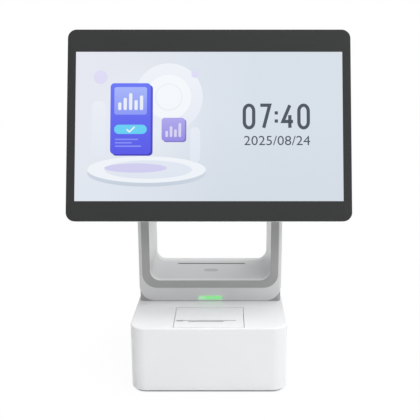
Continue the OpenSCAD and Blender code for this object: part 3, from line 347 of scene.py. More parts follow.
def sheetMetal(name, colour, rough, stretch=(1, 1, 30), lineSize=2 * mm, edge=0.2 * mm):
    # rolling or grinding lines along one axis
    material, tree, shader = newMaterial(name)
    point = objectPoint(tree)
    lines = noiseAt(tree, point, lineSize, 4, stretch)
    paint(tree, shader, mixColours(tree, lines, scaled(colour, 0.88), colour))
    shader.inputs["Metallic"].default_value = 1.0
    varyRough(tree, shader, lines, rough, 0.07, 0.07)
    addBump(tree, shader, lines, 0.15, 0.01 * mm, edge)
    return material


plasticSet = {
    "baseWhite": {"colour": (0.825, 0.84, 0.855), "rough": 0.32, "sway": 0.01, "gloss": 0.3},
    "headWhite": {"colour": (0.80, 0.81, 0.815), "rough": 0.40},
    "buttonGrey": {"colour": (0.60, 0.61, 0.62), "rough": 0.35},
    "spindlePale": {"colour": (0.70, 0.71, 0.71), "rough": 0.45},
    "gearWhite": {"colour": (0.78, 0.78, 0.74), "rough": 0.40},
    "darkPlastic": {"colour": (0.032, 0.033, 0.036), "rough": 0.45},
    "windowGrey": {"colour": (0.43, 0.455, 0.455), "rough": 0.34},
}
metalSet = {
    "steelSheet": {"colour": (0.56, 0.57, 0.59), "rough": 0.34},
    "groundSteel": {
        "colour": (0.66, 0.67, 0.69), "rough": 0.22, "stretch": (30, 1, 1), "lineSize": 1 * mm,
    },
    "screwSteel": {
        "colour": (0.42, 0.43, 0.45), "rough": 0.32, "stretch": (1, 1, 8), "lineSize": 1 * mm,
        "edge": 0.1 * mm,
    },
    "washerBrass": {
        "colour": (0.72, 0.56, 0.27), "rough": 0.30, "stretch": (20, 1, 1), "lineSize": 1.5 * mm,
    },
    "gearBrass": {
        "colour": (0.76, 0.60, 0.28), "rough": 0.28, "stretch": (20, 1, 1), "lineSize": 1 * mm,
        "edge": 0.05 * mm,
    },
    "aluminium": {
        "colour": (0.72, 0.73, 0.75), "rough": 0.38, "stretch": (1, 1, 20), "lineSize": 3 * mm,
    },
    "tinned": {
        "colour": (0.68, 0.69, 0.70), "rough": 0.26, "stretch": (1, 20, 1), "lineSize": 2 * mm,
        "edge": 0.15 * mm,
    },
}
finishes = {name: mouldedPlastic(name, **values) for name, values in plasticSet.items()}
finishes.update({name: sheetMetal(name, **values) for name, values in metalSet.items()})
print("plastics and metals made:", len(finishes))


smoothSet = {"weld": 0.01 * mm, "softBelow": 35, "evenWeight": 50}


def smoothGroup(values):
    # welds what the import split, and shades soft below an angle
    group = bpy.data.node_groups.new("softEdges", "GeometryNodeTree")
    group.interface.new_socket("Geometry", in_out="INPUT", socket_type="NodeSocketGeometry")
    group.interface.new_socket("Geometry", in_out="OUTPUT", socket_type="NodeSocketGeometry")
    start = group.nodes.new("NodeGroupInput")
    end = group.nodes.new("NodeGroupOutput")
    clear = group.nodes.new("GeometryNodeRemoveAttribute")
    clear.inputs["Name"].default_value = "custom_normal"
    weld = group.nodes.new("GeometryNodeMergeByDistance")
    weld.inputs["Distance"].default_value = values["weld"]
    faces = group.nodes.new("GeometryNodeSetShadeSmooth")
    faces.domain = "FACE"
    edges = group.nodes.new("GeometryNodeSetShadeSmooth")
    edges.domain = "EDGE"
    edges.inputs["Shade Smooth"].default_value = False
    angle = group.nodes.new("GeometryNodeInputMeshEdgeAngle")
    sharp = group.nodes.new("FunctionNodeCompare")
    sharp.data_type = "FLOAT"
    sharp.operation = "GREATER_THAN"
    sharp.inputs["B"].default_value = math.radians(values["softBelow"])
    link = group.links.new
    link(start.outputs[0], clear.inputs["Geometry"])
    link(clear.outputs["Geometry"], weld.inputs["Geometry"])
    link(weld.outputs["Geometry"], faces.inputs["Geometry"])
    link(faces.outputs["Geometry"], edges.inputs["Geometry"])
    link(angle.outputs["Unsigned Angle"], sharp.inputs["A"])
    link(sharp.outputs["Result"], edges.inputs["Selection"])
    link(edges.outputs["Geometry"], end.inputs[0])
    return group


softEdges = smoothGroup(smoothSet)


def dress(name, material):
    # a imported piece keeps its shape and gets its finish
    piece = nodes[name]
    piece.data.materials.clear()
    piece.data.materials.append(material)
    smooth = piece.modifiers.new("softEdges", "NODES")
    smooth.node_group = softEdges
    weigh = piece.modifiers.new("evenFaces", "WEIGHTED_NORMAL")
    weigh.keep_sharp = True
    weigh.weight = smoothSet["evenWeight"]


plainPieces = {
    "front_frame": "headWhite", "rear_shell": "headWhite", "hinge_cover": "headWhite",
    "backlight_tray": "aluminium", "lcd_cell": "darkPlastic", "hinge_plate": "steelSheet",
    "head_speakers": "darkPlastic", "head_screws": "screwSteel", "mainboard_heat_sink": "aluminium",
    "hinge_pins": "groundSteel", "friction_washers": "washerBrass", "hinge_nuts": "screwSteel",
    "left_arm_plate": "steelSheet", "right_arm_plate": "steelSheet", "neck_screws": "screwSteel",
    "card_guide": "darkPlastic", "tap_window": "windowGrey",
    "base_cover": "baseWhite", "base_plate": "steelSheet", "base_screws": "screwSteel",
    "lid_hinge_pin": "groundSteel", "platen_shaft": "groundSteel",
    "platen_gear": "gearWhite", "tear_bar": "steelSheet", "print_head": "aluminium",
    "printer_frame": "darkPlastic", "paper_bucket": "darkPlastic", "roll_spindle": "spindlePale",
    "printer_motor": "screwSteel", "motor_pinion": "gearBrass", "idler_gear": "gearWhite",
    "idler_axle": "groundSteel", "feed_button": "buttonGrey", "power_button": "buttonGrey",
    "button_switches": "darkPlastic", "port_panel": "darkPlastic", "network_port": "tinned",
    "usb_ports": "tinned", "power_inlet": "darkPlastic",
}
for nodeName, finishName in plainPieces.items():
    dress(nodeName, finishes[finishName])
print("plain pieces dressed:", len(plainPieces))


def rubberFinish(name, values):
    # matt elastomer with a fine speckle and ground lines
    material, tree, shader = newMaterial(name)
    point = objectPoint(tree)
    speckle = noiseAt(tree, point, 0.8 * mm, 3)
    pale = scaled(values["colour"], 1.35)
    paint(tree, shader, mixColours(tree, speckle, values["colour"], pale))
    varyRough(tree, shader, speckle, values["rough"], 0.06, 0.06)
    lines = noiseAt(tree, point, 0.7 * mm, 2, values["stretch"])
    addBump(tree, shader, lines, 0.3, 0.02 * mm, 0.3 * mm)
    return material


def partTone(tree, point, axis, low, high):
    # 0 below low and 1 above high along one axis
    return between(tree, partsOf(tree, point)[axis], 0, 1, low, high)


def linerFinish(name, values):
    # satin liner; painted light makes it lighter up the arms, painted highlights make its rounded
    # front and rear edges lighter, and painted shade darkens the card slot's lip
    material, tree, shader = newMaterial(name)
    point = objectPoint(tree)
    # painted light: lighter up the arms than on the shelf below
    arms = sums(tree, "MULTIPLY", partTone(tree, point, 2, *values["armsLitAt"]), 0.85)
    # painted highlight: lighter on the rounded front and rear edges
    front = sums(tree, "SUBTRACT", 1.0, partTone(tree, point, 1, *values["frontHighlightAt"]))
    rear = partTone(tree, point, 1, *values["rearHighlightAt"])
    drift = sums(tree, "MULTIPLY", noiseAt(tree, point, 40 * mm, 2), 0.15)
    tone = sums(tree, "ADD", arms, drift)
    colour = mixColours(tree, tone, values["colour"], values["pale"])
    colour = mixColours(tree, sums(tree, "MAXIMUM", front, rear), colour, values["edgeHighlight"])
    # painted shade: darker along the lip of the card slot, for the shadow in the slot
    away = distanceFrom(tree, point, values["slotAt"], (0, 1, 0))
    lipShade = between(tree, away, 1, 0, values["slotLip"] - 0.6 * mm, values["slotLip"])
    beside = sums(tree, "ABSOLUTE", partsOf(tree, point)[0])
    within = between(tree, beside, 1, 0, values["slotHalf"], values["slotHalf"] + 1.5 * mm)
    lipShade = sums(tree, "MULTIPLY", lipShade, within)
    paint(tree, shader, mixColours(tree, lipShade, colour, values["lipShadeColour"]))
    satinFace(tree, shader, point, values["rough"], 0.5 * mm)
    return material


def neckFinish(name, values):
    # satin silver-grey; painted shade darkens the foot below the rounded corners and the seat at
    # its bottom, and painted light makes it paler towards the right
    material, tree, shader = newMaterial(name)
    point = objectPoint(tree)
    part = partsOf(tree, point)
    # painted shade: dark grey on the foot below the arcs of the lower corners and on the seat
    side = sums(tree, "SUBTRACT", sums(tree, "ABSOLUTE", part[0]), values["arcX"])
    under = sums(tree, "SUBTRACT", values["arcZ"], part[2])
    away = cornerDistance(tree, side, under)
    radius, seatZ = values["arcRadius"], values["seatZ"]
    foot = between(tree, away, 0, 1, radius - 0.3 * mm, radius + 0.1 * mm)
    seatShade = between(tree, part[2], 1, 0, seatZ - 0.1 * mm, seatZ + 0.1 * mm)
    drift = noiseAt(tree, point, 60 * mm, 2)
    colour = mixColours(tree, drift, scaled(values["colour"], 0.985), values["colour"])
    # painted light: paler towards the right, where the light wraps round the corner
    rise = sums(tree, "MULTIPLY", partTone(tree, point, 0, *values["paleAt"]), 0.5)
    colour = mixColours(tree, rise, colour, values["pale"])
    low = sums(tree, "MAXIMUM", foot, seatShade)
    paint(tree, shader, mixColours(tree, low, colour, values["footShadeColour"]))
    satinFace(tree, shader, point, values["rough"], 0.5 * mm)
    return material


def lidFinish(name, values):
    # white like the base, with painted shade where the slot widens at its left end, for the shadow
    # in that hollow
    material, tree, shader = newMaterial(name)
    shader.inputs["Specular IOR Level"].default_value = values["gloss"]
    point = objectPoint(tree)
    # painted shade over the slot's wide end
    notchShades = []
    part = partsOf(tree, point)
    for axis in (0, 1):
        off = sums(tree, "ABSOLUTE", sums(tree, "SUBTRACT", part[axis], values["notchShadeAt"][axis]))
        half = values["notchShadeHalf"][axis]
        notchShades.append(between(tree, off, 1, 0, half - 0.4 * mm, half + 0.4 * mm))
    drift = noiseAt(tree, point, 60 * mm, 2)
    colour = mixColours(tree, drift, scaled(values["colour"], 0.985), values["colour"])
    mark = sums(tree, "MULTIPLY", *notchShades)
    paint(tree, shader, mixColours(tree, mark, colour, values["notchShadeColour"]))
    satinFace(tree, shader, point, values["rough"], 0.35 * mm, 0.01)
    return material


def trimFinish(name, values):
    # grey band, lighter towards its foot with a painted reflection of the pale shelf
    material, tree, shader = newMaterial(name)
    point = objectPoint(tree)
    # painted reflection: the lighter colour at the band's foot
    up = partTone(tree, point, 2, *values["shelfReflectionAt"])
    colour = mixColours(tree, up, values["low"], values["colour"])
    drift = sums(tree, "MULTIPLY", noiseAt(tree, point, 30 * mm, 2), 0.3)
    paint(tree, shader, mixColours(tree, drift, colour, scaled(values["colour"], 0.93)))
    satinFace(tree, shader, point, values["rough"], 0.3 * mm, patch=20 * mm, grain=0.5 * mm)
    return material


def sleeveFinish(name, values):
    # woven cable sleeve: two crossing sets of threads
    material, tree, shader = newMaterial(name)
    point = objectPoint(tree)
    threads = []
    for turn in (0.7, -0.7):
        mapping = tree.nodes.new("ShaderNodeMapping")
        mapping.inputs["Rotation"].default_value = (turn, turn, turn)
        tree.links.new(point, mapping.inputs["Vector"])
        wave = tree.nodes.new("ShaderNodeTexWave")
        wave.inputs["Scale"].default_value = values["threads"]
        tree.links.new(mapping.outputs["Vector"], wave.inputs["Vector"])
        threads.append(wave.outputs["Fac"])
    weave = sums(tree, "MULTIPLY", threads[0], threads[1])
    pale = scaled(values["colour"], 2.2)
    paint(tree, shader, mixColours(tree, weave, values["colour"], pale))
    tree.links.new(between(tree, weave, 0.65, 0.5, 0, 1), shader.inputs["Roughness"])
    addBump(tree, shader, weave, 0.5, 0.08 * mm)
    return material


def paperFinish(name, values):
    # coated paper, with the edges of its turns showing as rings at both ends
    material, tree, shader = newMaterial(name)
    point = objectPoint(tree)
    away = distanceFrom(tree, point, values["axisAt"], (0, 1, 1))
    rings = sums(tree, "SINE", sums(tree, "MULTIPLY", away, 2 * math.pi / values["turn"]))
    fibres = noiseAt(tree, point, 0.4 * mm, 4)
    rings = sums(tree, "MULTIPLY", between(tree, rings, 0, 1, -1, 1), 0.6)
    shade = sums(tree, "ADD", rings, sums(tree, "MULTIPLY", fibres, 0.4))
    dark = scaled(values["colour"], 0.86)
    paint(tree, shader, mixColours(tree, shade, dark, values["colour"]))
    varyRough(tree, shader, fibres, values["rough"], 0.05, 0.05)
    addBump(tree, shader, shade, 0.2, 0.03 * mm)
    return material


def boardFinish(name, values):
    # solder mask with copper runs and tinned pads; what stands above the board is black
    material, tree, shader = newMaterial(name)
    point = objectPoint(tree)
    along = distanceAlong(tree, point, values["origin"], values["normal"])
    raised = sums(tree, "GREATER_THAN", along, values["above"])
    runs = tree.nodes.new("ShaderNodeTexBrick")
    runs.inputs["Scale"].default_value = 1
    runs.inputs["Brick Width"].default_value = values["runLength"]
    runs.inputs["Row Height"].default_value = values["runPitch"]
    runs.inputs["Mortar Size"].default_value = values["runWidth"]
    runs.inputs["Color1"].default_value = (*values["mask"], 1)
    runs.inputs["Color2"].default_value = (*scaled(values["mask"], 0.8), 1)
    runs.inputs["Mortar"].default_value = (*values["copper"], 1)
    turn = tree.nodes.new("ShaderNodeMapping")
    turn.inputs["Rotation"].default_value = values.get("turn", (0, 0, 0))
    tree.links.new(point, turn.inputs["Vector"])
    tree.links.new(turn.outputs["Vector"], runs.inputs["Vector"])
    pads = tree.nodes.new("ShaderNodeTexVoronoi")
    pads.inputs["Scale"].default_value = 1 / values["padPitch"]
    tree.links.new(turn.outputs["Vector"], pads.inputs["Vector"])
    isPad = sums(tree, "LESS_THAN", pads.outputs["Distance"], values["padShare"])
    board = mixColours(tree, isPad, runs.outputs["Color"], values["padColour"])
    chip = mixColours(tree, noiseAt(tree, point, 1 * mm, 3), *values["chipColours"])
    paint(tree, shader, mixColours(tree, raised, board, chip))
    varyRough(tree, shader, noiseAt(tree, point, 3 * mm, 3), 0.34, 0.08, 0.08)
    addBump(tree, shader, runs.outputs["Fac"], 0.25, 0.03 * mm, 0.15 * mm)
    return material


headSet = {
    "hinge": (0, 17 * mm, 291 * mm),
    "lean": 16.5,
    "glassToHinge": (0, -50 * mm, 29.5 * mm),
}
headPlace = (
    Matrix.Translation(headSet["hinge"])
    @ Matrix.Rotation(math.radians(-headSet["lean"]), 4, "X")
    @ Matrix.Translation(headSet["glassToHinge"])
)
headOrigin = tuple(headPlace.translation)
headBack = tuple(headPlace.to_3x3() @ Vector((0, 1, 0)))

linerSet = {
    "colour": (0.590, 0.605, 0.612),
    # painted light up the arms
    "pale": (0.71, 0.715, 0.715),
    # painted highlight on the rounded front and rear edges
    "edgeHighlight": (0.74, 0.75, 0.75),
    "rough": 0.36,
    "armsLitAt": (120 * mm, 150 * mm),
    "frontHighlightAt": (0.5 * mm, 4 * mm),
    "rearHighlightAt": (80 * mm, 90 * mm),
    "slotAt": (0, 71 * mm, 0),
    "slotHalf": 50 * mm,
    "slotLip": 3.4 * mm,
    # painted shade along the card slot's lip
    "lipShadeColour": (0.38, 0.385, 0.385),
}
neckSet = {
    "colour": (0.600, 0.604, 0.612),
    # painted light towards the right side
    "pale": (0.72, 0.725, 0.73),
    # painted shade on the foot and the seat
    "footShadeColour": (0.33, 0.33, 0.335),
    "rough": 0.36,
    "arcX": 76 * mm,
    "arcZ": 110.3 * mm,
    "arcRadius": 22 * mm,
    "seatZ": 88.3 * mm,
    "paleAt": (30 * mm, 95 * mm),
}
lidSet = {
    "colour": (0.825, 0.84, 0.855),
    # painted shade where the slot widens
    "notchShadeColour": (0.30, 0.31, 0.32),
    "rough": 0.32,
    "gloss": 0.3,
    "notchShadeAt": (-38.2 * mm, -79.0 * mm),
    "notchShadeHalf": (4.2 * mm, 1.9 * mm),
}
trimSet = {
    "colour": (0.262, 0.265, 0.267),
    # painted reflection of the pale shelf at the band's foot
    "low": (0.352, 0.352, 0.352),
    "rough": 0.38,
    "shelfReflectionAt": (150 * mm, 260 * mm),
}
rubberSet = {
    "footRubber": {"colour": (0.035, 0.035, 0.037), "rough": 0.72, "stretch": (1, 1, 6)},
    "rollerRubber": {"colour": (0.05, 0.05, 0.054), "rough": 0.58, "stretch": (14, 1, 1)},
}
rollAxis = (-4 * mm, -51.5 * mm, 46 * mm)
paperSet = {
    "rollPaper": {
        "colour": (0.86, 0.86, 0.84), "rough": 0.48, "axisAt": rollAxis, "turn": 0.55 * mm,
    },
    "coreCard": {
        "colour": (0.50, 0.38, 0.26), "rough": 0.8, "axisAt": rollAxis, "turn": 0.45 * mm,
    },
}
anyBoard = {
    "mask": (0.012, 0.12, 0.05),
    "copper": (0.05, 0.24, 0.10),
    "runLength": 5.5 * mm,
    "runPitch": 1.9 * mm,
    "runWidth": 0.22 * mm,
    "padPitch": 4.5 * mm,
    "padShare": 0.16,
    "padColour": (0.62, 0.60, 0.52),
    "chipColours": ((0.012, 0.012, 0.013), (0.03, 0.03, 0.032)),
}
# above is the height from which a board's parts are black; 1 m leaves all of it green
boardSet = {
    "mainboardFinish": {
        "origin": headOrigin, "normal": headBack, "above": 15.3 * mm,
        "turn": (math.radians(90 + headSet["lean"]), 0, 0),
    },
    "baseBoardFinish": {"origin": (0, 0, 15 * mm), "normal": (0, 0, 1), "above": 0.1 * mm},
    "readerBoardFinish": {"origin": (0, 0, 114 * mm), "normal": (0, 0, -1), "above": 1.7 * mm},
    "sideBoardFinish": {
        "origin": (0, 0, 0), "normal": (0, 0, 1), "above": 1.0, "turn": (0, math.radians(90), 0),
    },
    "lightBoardFinish": {
        "origin": (0, 0, 0), "normal": (0, 0, 1), "above": 1.0, "turn": (math.radians(90), 0, 0),
    },
}
sleeveSet = {"colour": (0.018, 0.018, 0.02), "threads": 900}
finishes["linerPale"] = linerFinish("linerPale", linerSet)
finishes["trimGrey"] = trimFinish("trimGrey", trimSet)
finishes["neckSilver"] = neckFinish("neckSilver", neckSet)
finishes["lidWhite"] = lidFinish("lidWhite", lidSet)
for setName, values in rubberSet.items():
    finishes[setName] = rubberFinish(setName, values)
for setName, values in paperSet.items():
    finishes[setName] = paperFinish(setName, values)
for setName, values in boardSet.items():
    finishes[setName] = boardFinish(setName, {**anyBoard, **values})
finishes["cableSleeve"] = sleeveFinish("cableSleeve", sleeveSet)

finePieces = {
    "neck_shell": "neckSilver", "neck_liner": "linerPale", "neck_trim": "trimGrey",
    "printer_lid": "lidWhite", "rubber_feet": "footRubber", "platen_roller": "rollerRubber",
    "paper_roll": "rollPaper", "roll_core": "coreCard", "mainboard": "mainboardFinish",
    "io_board": "baseBoardFinish", "printer_board": "baseBoardFinish",
    "card_reader_board": "readerBoardFinish", "button_board": "sideBoardFinish",
    "light_board": "lightBoardFinish",
    "neck_harness": "cableSleeve", "head_harness": "cableSleeve",
}
for nodeName, finishName in finePieces.items():
    dress(nodeName, finishes[finishName])
print("boards, rubber, paper and cable dressed:", len(finePieces))


def addPiece(name, mesh, material, body="display", place=None):
    # a new mesh becomes a piece of the object and rides on a body
    piece = bpy.data.objects.new(name, mesh)
    if material:
        piece.data.materials.append(material)
    if place is not None:
        piece.matrix_world = place
    scene.collection.objects.link(piece)
    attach(piece, body)
    return piece


def roundedLoop(width, height, radius, centre=(0, 0), steps=12):
    # points of a rectangle with round corners, anticlockwise
    points = []
    for number, (signX, signZ) in enumerate(((1, 1), (-1, 1), (-1, -1), (1, -1))):
        for step in range(steps + 1):
            angle = math.radians(90 * number + 90 * step / steps)
            points.append((
                centre[0] + signX * (width / 2 - radius) + radius * math.cos(angle),
                centre[1] + signZ * (height / 2 - radius) + radius * math.sin(angle),
            ))
    return points


glassSet = {
    "width": 366 * mm,
    "height": 249 * mm,
    "corner": 11.5 * mm,
    "thickness": 2 * mm,
    "edge": 0.5 * mm,
    "windowWidth": 344.2 * mm,
    "windowHeight": 193.6 * mm,
    "windowMiddle": -1.7 * mm,
    "windowCorner": 0.4 * mm,
    "paneDepth": 0.3 * mm,
    "paneGap": 0.05 * mm,
    "ink": (0.0205, 0.0210, 0.0215),
    "rough": 0.10,
}


def makeGlassBorder(values):
    # dark printed border of the glass, open where the picture shows
    width, height, corner = values["width"], values["height"], values["corner"]
    step = values["edge"]
    outer = roundedLoop(width, height, corner)
    inset = roundedLoop(width - 2 * step, height - 2 * step, corner - step)
    window = roundedLoop(
        values["windowWidth"], values["windowHeight"], values["windowCorner"],
        (0, values["windowMiddle"]),
    )
    rings = [(window, values["thickness"]), (window, 0), (inset, 0)]
    for part in (1, 2, 3):
        angle = math.radians(30 * part)
        share = math.sin(angle)
        loop = [tuple(a + (b - a) * share for a, b in zip(p, q)) for p, q in zip(inset, outer)]
        rings.append((loop, step * (1 - math.cos(angle))))
    rings.append((outer, values["thickness"]))
    build = bmesh.new()
    loops = [[build.verts.new((x, y, z)) for x, z in loop] for loop, y in rings]
    for first, second in zip(loops, loops[1:] + loops[:1]):
        for number in range(len(first)):
            after = (number + 1) % len(first)
            build.faces.new((first[number], first[after], second[after], second[number]))
    bmesh.ops.recalc_face_normals(build, faces=build.faces)
    for face in build.faces:
        face.smooth = True
    mesh = bpy.data.meshes.new("glassBorder")
    build.to_mesh(mesh)
    build.free()
    return mesh


def borderFinish(values):
    # printed ink under glass: near black, faint waviness and dust in the gloss
    material, tree, shader = newMaterial("borderInk")
    point = objectPoint(tree)
    drift = noiseAt(tree, point, 90 * mm, 2)
    paint(tree, shader, mixColours(tree, drift, values["ink"], scaled(values["ink"], 1.12)))
    varyRough(tree, shader, noiseAt(tree, point, 5 * mm, 5), values["rough"], 0.03, 0.04)
    addBump(tree, shader, noiseAt(tree, point, 120 * mm, 1), 0.05, 0.1 * mm)
    return material


border = addPiece(
    "glassBorder", makeGlassBorder(glassSet), borderFinish(glassSet),
    place=headPlace,
)
split = border.modifiers.new("cornerShade", "EDGE_SPLIT")
split.split_angle = math.radians(40)
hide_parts("cover_glass")
print("glass border made")

pictureSet = {
    "topLeft": (0.790, 0.805, 0.885),
    "right": (0.680, 0.745, 0.815),
    "lowLeft": (0.740, 0.795, 0.865),
    "low": (0.645, 0.705, 0.785),
    "topAcross": (-150 * mm, 60 * mm),
    "lowAcross": (-150 * mm, 20 * mm),
    "downward": (20 * mm, -110 * mm),
    "glow": (0.860, 0.900, 0.960),
    "glowAt": (-78 * mm, 0, 12 * mm),
    "glowReach": (10 * mm, 95 * mm),
    "strength": 0.96,
    "rough": 0.12,
    "unlit": (0.01, 0.01, 0.01, 1),
}


def litMaterial(name, low, high, fromZ, toZ, strength=pictureSet["strength"]):
    # a lit shape on the screen, from one colour at its foot to another at its top
    material, tree, shader = newMaterial(name)
    point = objectPoint(tree)
    up = distanceAlong(tree, point, (0, 0, 0), (0, 0, 1))
    share = between(tree, up, 0, 1, fromZ, toZ)
    tree.links.new(mixColours(tree, share, low, high), shader.inputs["Emission Color"])
    shader.inputs["Emission Strength"].default_value = strength
    shader.inputs["Base Color"].default_value = pictureSet["unlit"]
    shader.inputs["Roughness"].default_value = pictureSet["rough"]
    return material


def paneMaterial(values):
    # pale lit ground of the picture, cooler to the right and darker below
    material, tree, shader = newMaterial("litGround")
    point = objectPoint(tree)
    across = distanceAlong(tree, point, (0, 0, 0), (1, 0, 0))
    up = distanceAlong(tree, point, (0, 0, 0), (0, 0, 1))
    share = between(tree, across, 0, 1, *values["topAcross"])
    ground = mixColours(tree, share, values["topLeft"], values["right"])
    share = between(tree, across, 0, 1, *values["lowAcross"])
    low = mixColours(tree, share, values["lowLeft"], values["low"])
    ground = mixColours(tree, between(tree, up, 0, 1, *values["downward"]), ground, low)
    away = distanceFrom(tree, point, values["glowAt"], (1, 0, 1))
    glow = between(tree, away, 1, 0, *values["glowReach"])
    glow = sums(tree, "MULTIPLY", glow, sums(tree, "MULTIPLY", glow, 0.85))
    soft = mixColours(tree, glow, ground, values["glow"])
    tree.links.new(soft, shader.inputs["Emission Color"])
    shader.inputs["Emission Strength"].default_value = values["strength"]
    shader.inputs["Base Color"].default_value = values["unlit"]
    varyRough(tree, shader, noiseAt(tree, point, 5 * mm, 5), values["rough"], 0.03, 0.03)
    return material


def plateMesh(name, front, back, width, height, middle, radius):
    # thin plate with its face at the front depth
    loop = roundedLoop(width, height, radius, (0, middle), 4)
    build = bmesh.new()
    faceLoop = [build.verts.new((x, front, z)) for x, z in loop]
    backLoop = [build.verts.new((x, back, z)) for x, z in loop]
    build.faces.new(faceLoop)
    build.faces.new(list(reversed(backLoop)))
    for number in range(len(loop)):
        after = (number + 1) % len(loop)
        build.faces.new((faceLoop[number], faceLoop[after], backLoop[after], backLoop[number]))
    bmesh.ops.recalc_face_normals(build, faces=build.faces)
    mesh = bpy.data.meshes.new(name)
    build.to_mesh(mesh)
    build.free()
    return mesh


paneMesh = plateMesh(
    "litPane", glassSet["paneDepth"], glassSet["thickness"],
    glassSet["windowWidth"] - 2 * glassSet["paneGap"],
    glassSet["windowHeight"] - 2 * glassSet["paneGap"],
    glassSet["windowMiddle"], glassSet["windowCorner"] - glassSet["paneGap"],
)
addPiece("litPane", paneMesh, paneMaterial(pictureSet), place=headPlace)


class PictureSheet:
    # collects flat shapes, each a hair in front of the one before
    def __init__(self, firstDepth, step=0):
        self.build = bmesh.new()
        self.materials = []
        self.depth = firstDepth
        self.step = step

    def nextLayer(self):
        self.depth -= self.step

    def use(self, material):
        if material not in self.materials:
            self.materials.append(material)
        return self.materials.index(material)

    def vertsAt(self, points):
        return [self.build.verts.new((x * mm, self.depth, z * mm)) for x, z in points]

    def shape(self, points, material):
        face = self.build.faces.new(self.vertsAt(points))
        face.material_index = self.use(material)

    def strip(self, points, width, material, closed=False):
        # a line of even width through points, mitred at its bends
        count = len(points)
        sides = []
        for number, (x, z) in enumerate(points):
            ways = []
            if closed or number > 0:
                ax, az = points[number - 1]
                ways.append(Vector((x - ax, z - az)).normalized())
            if closed or number < count - 1:
                bx, bz = points[(number + 1) % count]
                ways.append(Vector((bx - x, bz - z)).normalized())
            mean = sum(ways, Vector((0, 0))).normalized()
            across = Vector((-mean.y, mean.x))
            half = width / 2 / max(0.5, across.dot(Vector((-ways[0].y, ways[0].x))))
            sides.append([(x + across.x * s * half, z + across.y * s * half) for s in (1, -1)])
        verts = [self.vertsAt(pair) for pair in sides]
        index = self.use(material)
        for number in range(count if closed else count - 1):
            one, two = verts[number], verts[(number + 1) % count]
            face = self.build.faces.new((one[0], one[1], two[1], two[0]))
            face.material_index = index

    def mesh(self, name):
        self.build.normal_update()
        for face in self.build.faces:
            if face.normal.y > 0:
                face.normal_flip()
        mesh = bpy.data.meshes.new(name)
        self.build.to_mesh(mesh)
        self.build.free()
        for material in self.materials:
            mesh.materials.append(material)
        return mesh


def box(width, height, radius, centre):
    return roundedLoop(width, height, radius, centre, 6)


def oval(halfWidth, halfHeight, centre, steps=56):
    points = []
    for number in range(steps):
        angle = 2 * math.pi / steps * number
        points.append((
            centre[0] + halfWidth * math.cos(angle),
            centre[1] + halfHeight * math.sin(angle),
        ))
    return points


# generic picture: a tilted pair of tiles over a pale oval stage, all in millimetres
drawingSet = {
    "layerStep": 0.02 * mm,
    "stage": {"centre": (-80, -58), "half": (76, 17)},
    "disc": (-52, 36),
    "card": {"centre": (-101, 8), "size": (52, 92), "corner": 5},
    "tile": {"centre": (-46, -6), "size": (30, 30), "corner": 4},
    "cardBars": (10, 16, 22, 13, 19),
    "tileBars": (8, 14, 10, 18),
    "lines": (30, 22, 34),
}
# each: colour at the foot, colour at the top, and the heights that these belong to
drawingColours = {
    "paleShape": ((0.74, 0.79, 0.88), (0.86, 0.89, 0.95), -70, 70),
    "whiteShape": ((0.86, 0.90, 0.95), (0.93, 0.95, 0.98), -70, 70),
    "rimShape": ((0.55, 0.62, 0.72), (0.66, 0.72, 0.80), -80, -50),
    "lilacShape": ((0.62, 0.60, 0.86), (0.74, 0.72, 0.92), -70, 70),
    "cardBlue": ((0.075, 0.075, 0.80), (0.13, 0.17, 0.93), -40, 55),
    "cardEdge": ((0.04, 0.03, 0.50), (0.07, 0.07, 0.62), -40, 55),
    "cardPale": ((0.22, 0.27, 0.92), (0.38, 0.46, 0.96), 5, 50),
    "cyanShape": ((0.08, 0.42, 0.86), (0.12, 0.62, 0.90), -30, -10),
    "tileViolet": ((0.30, 0.25, 0.76), (0.44, 0.40, 0.86), -20, 12),
    "tileEdge": ((0.20, 0.16, 0.58), (0.26, 0.22, 0.66), -20, 12),
}


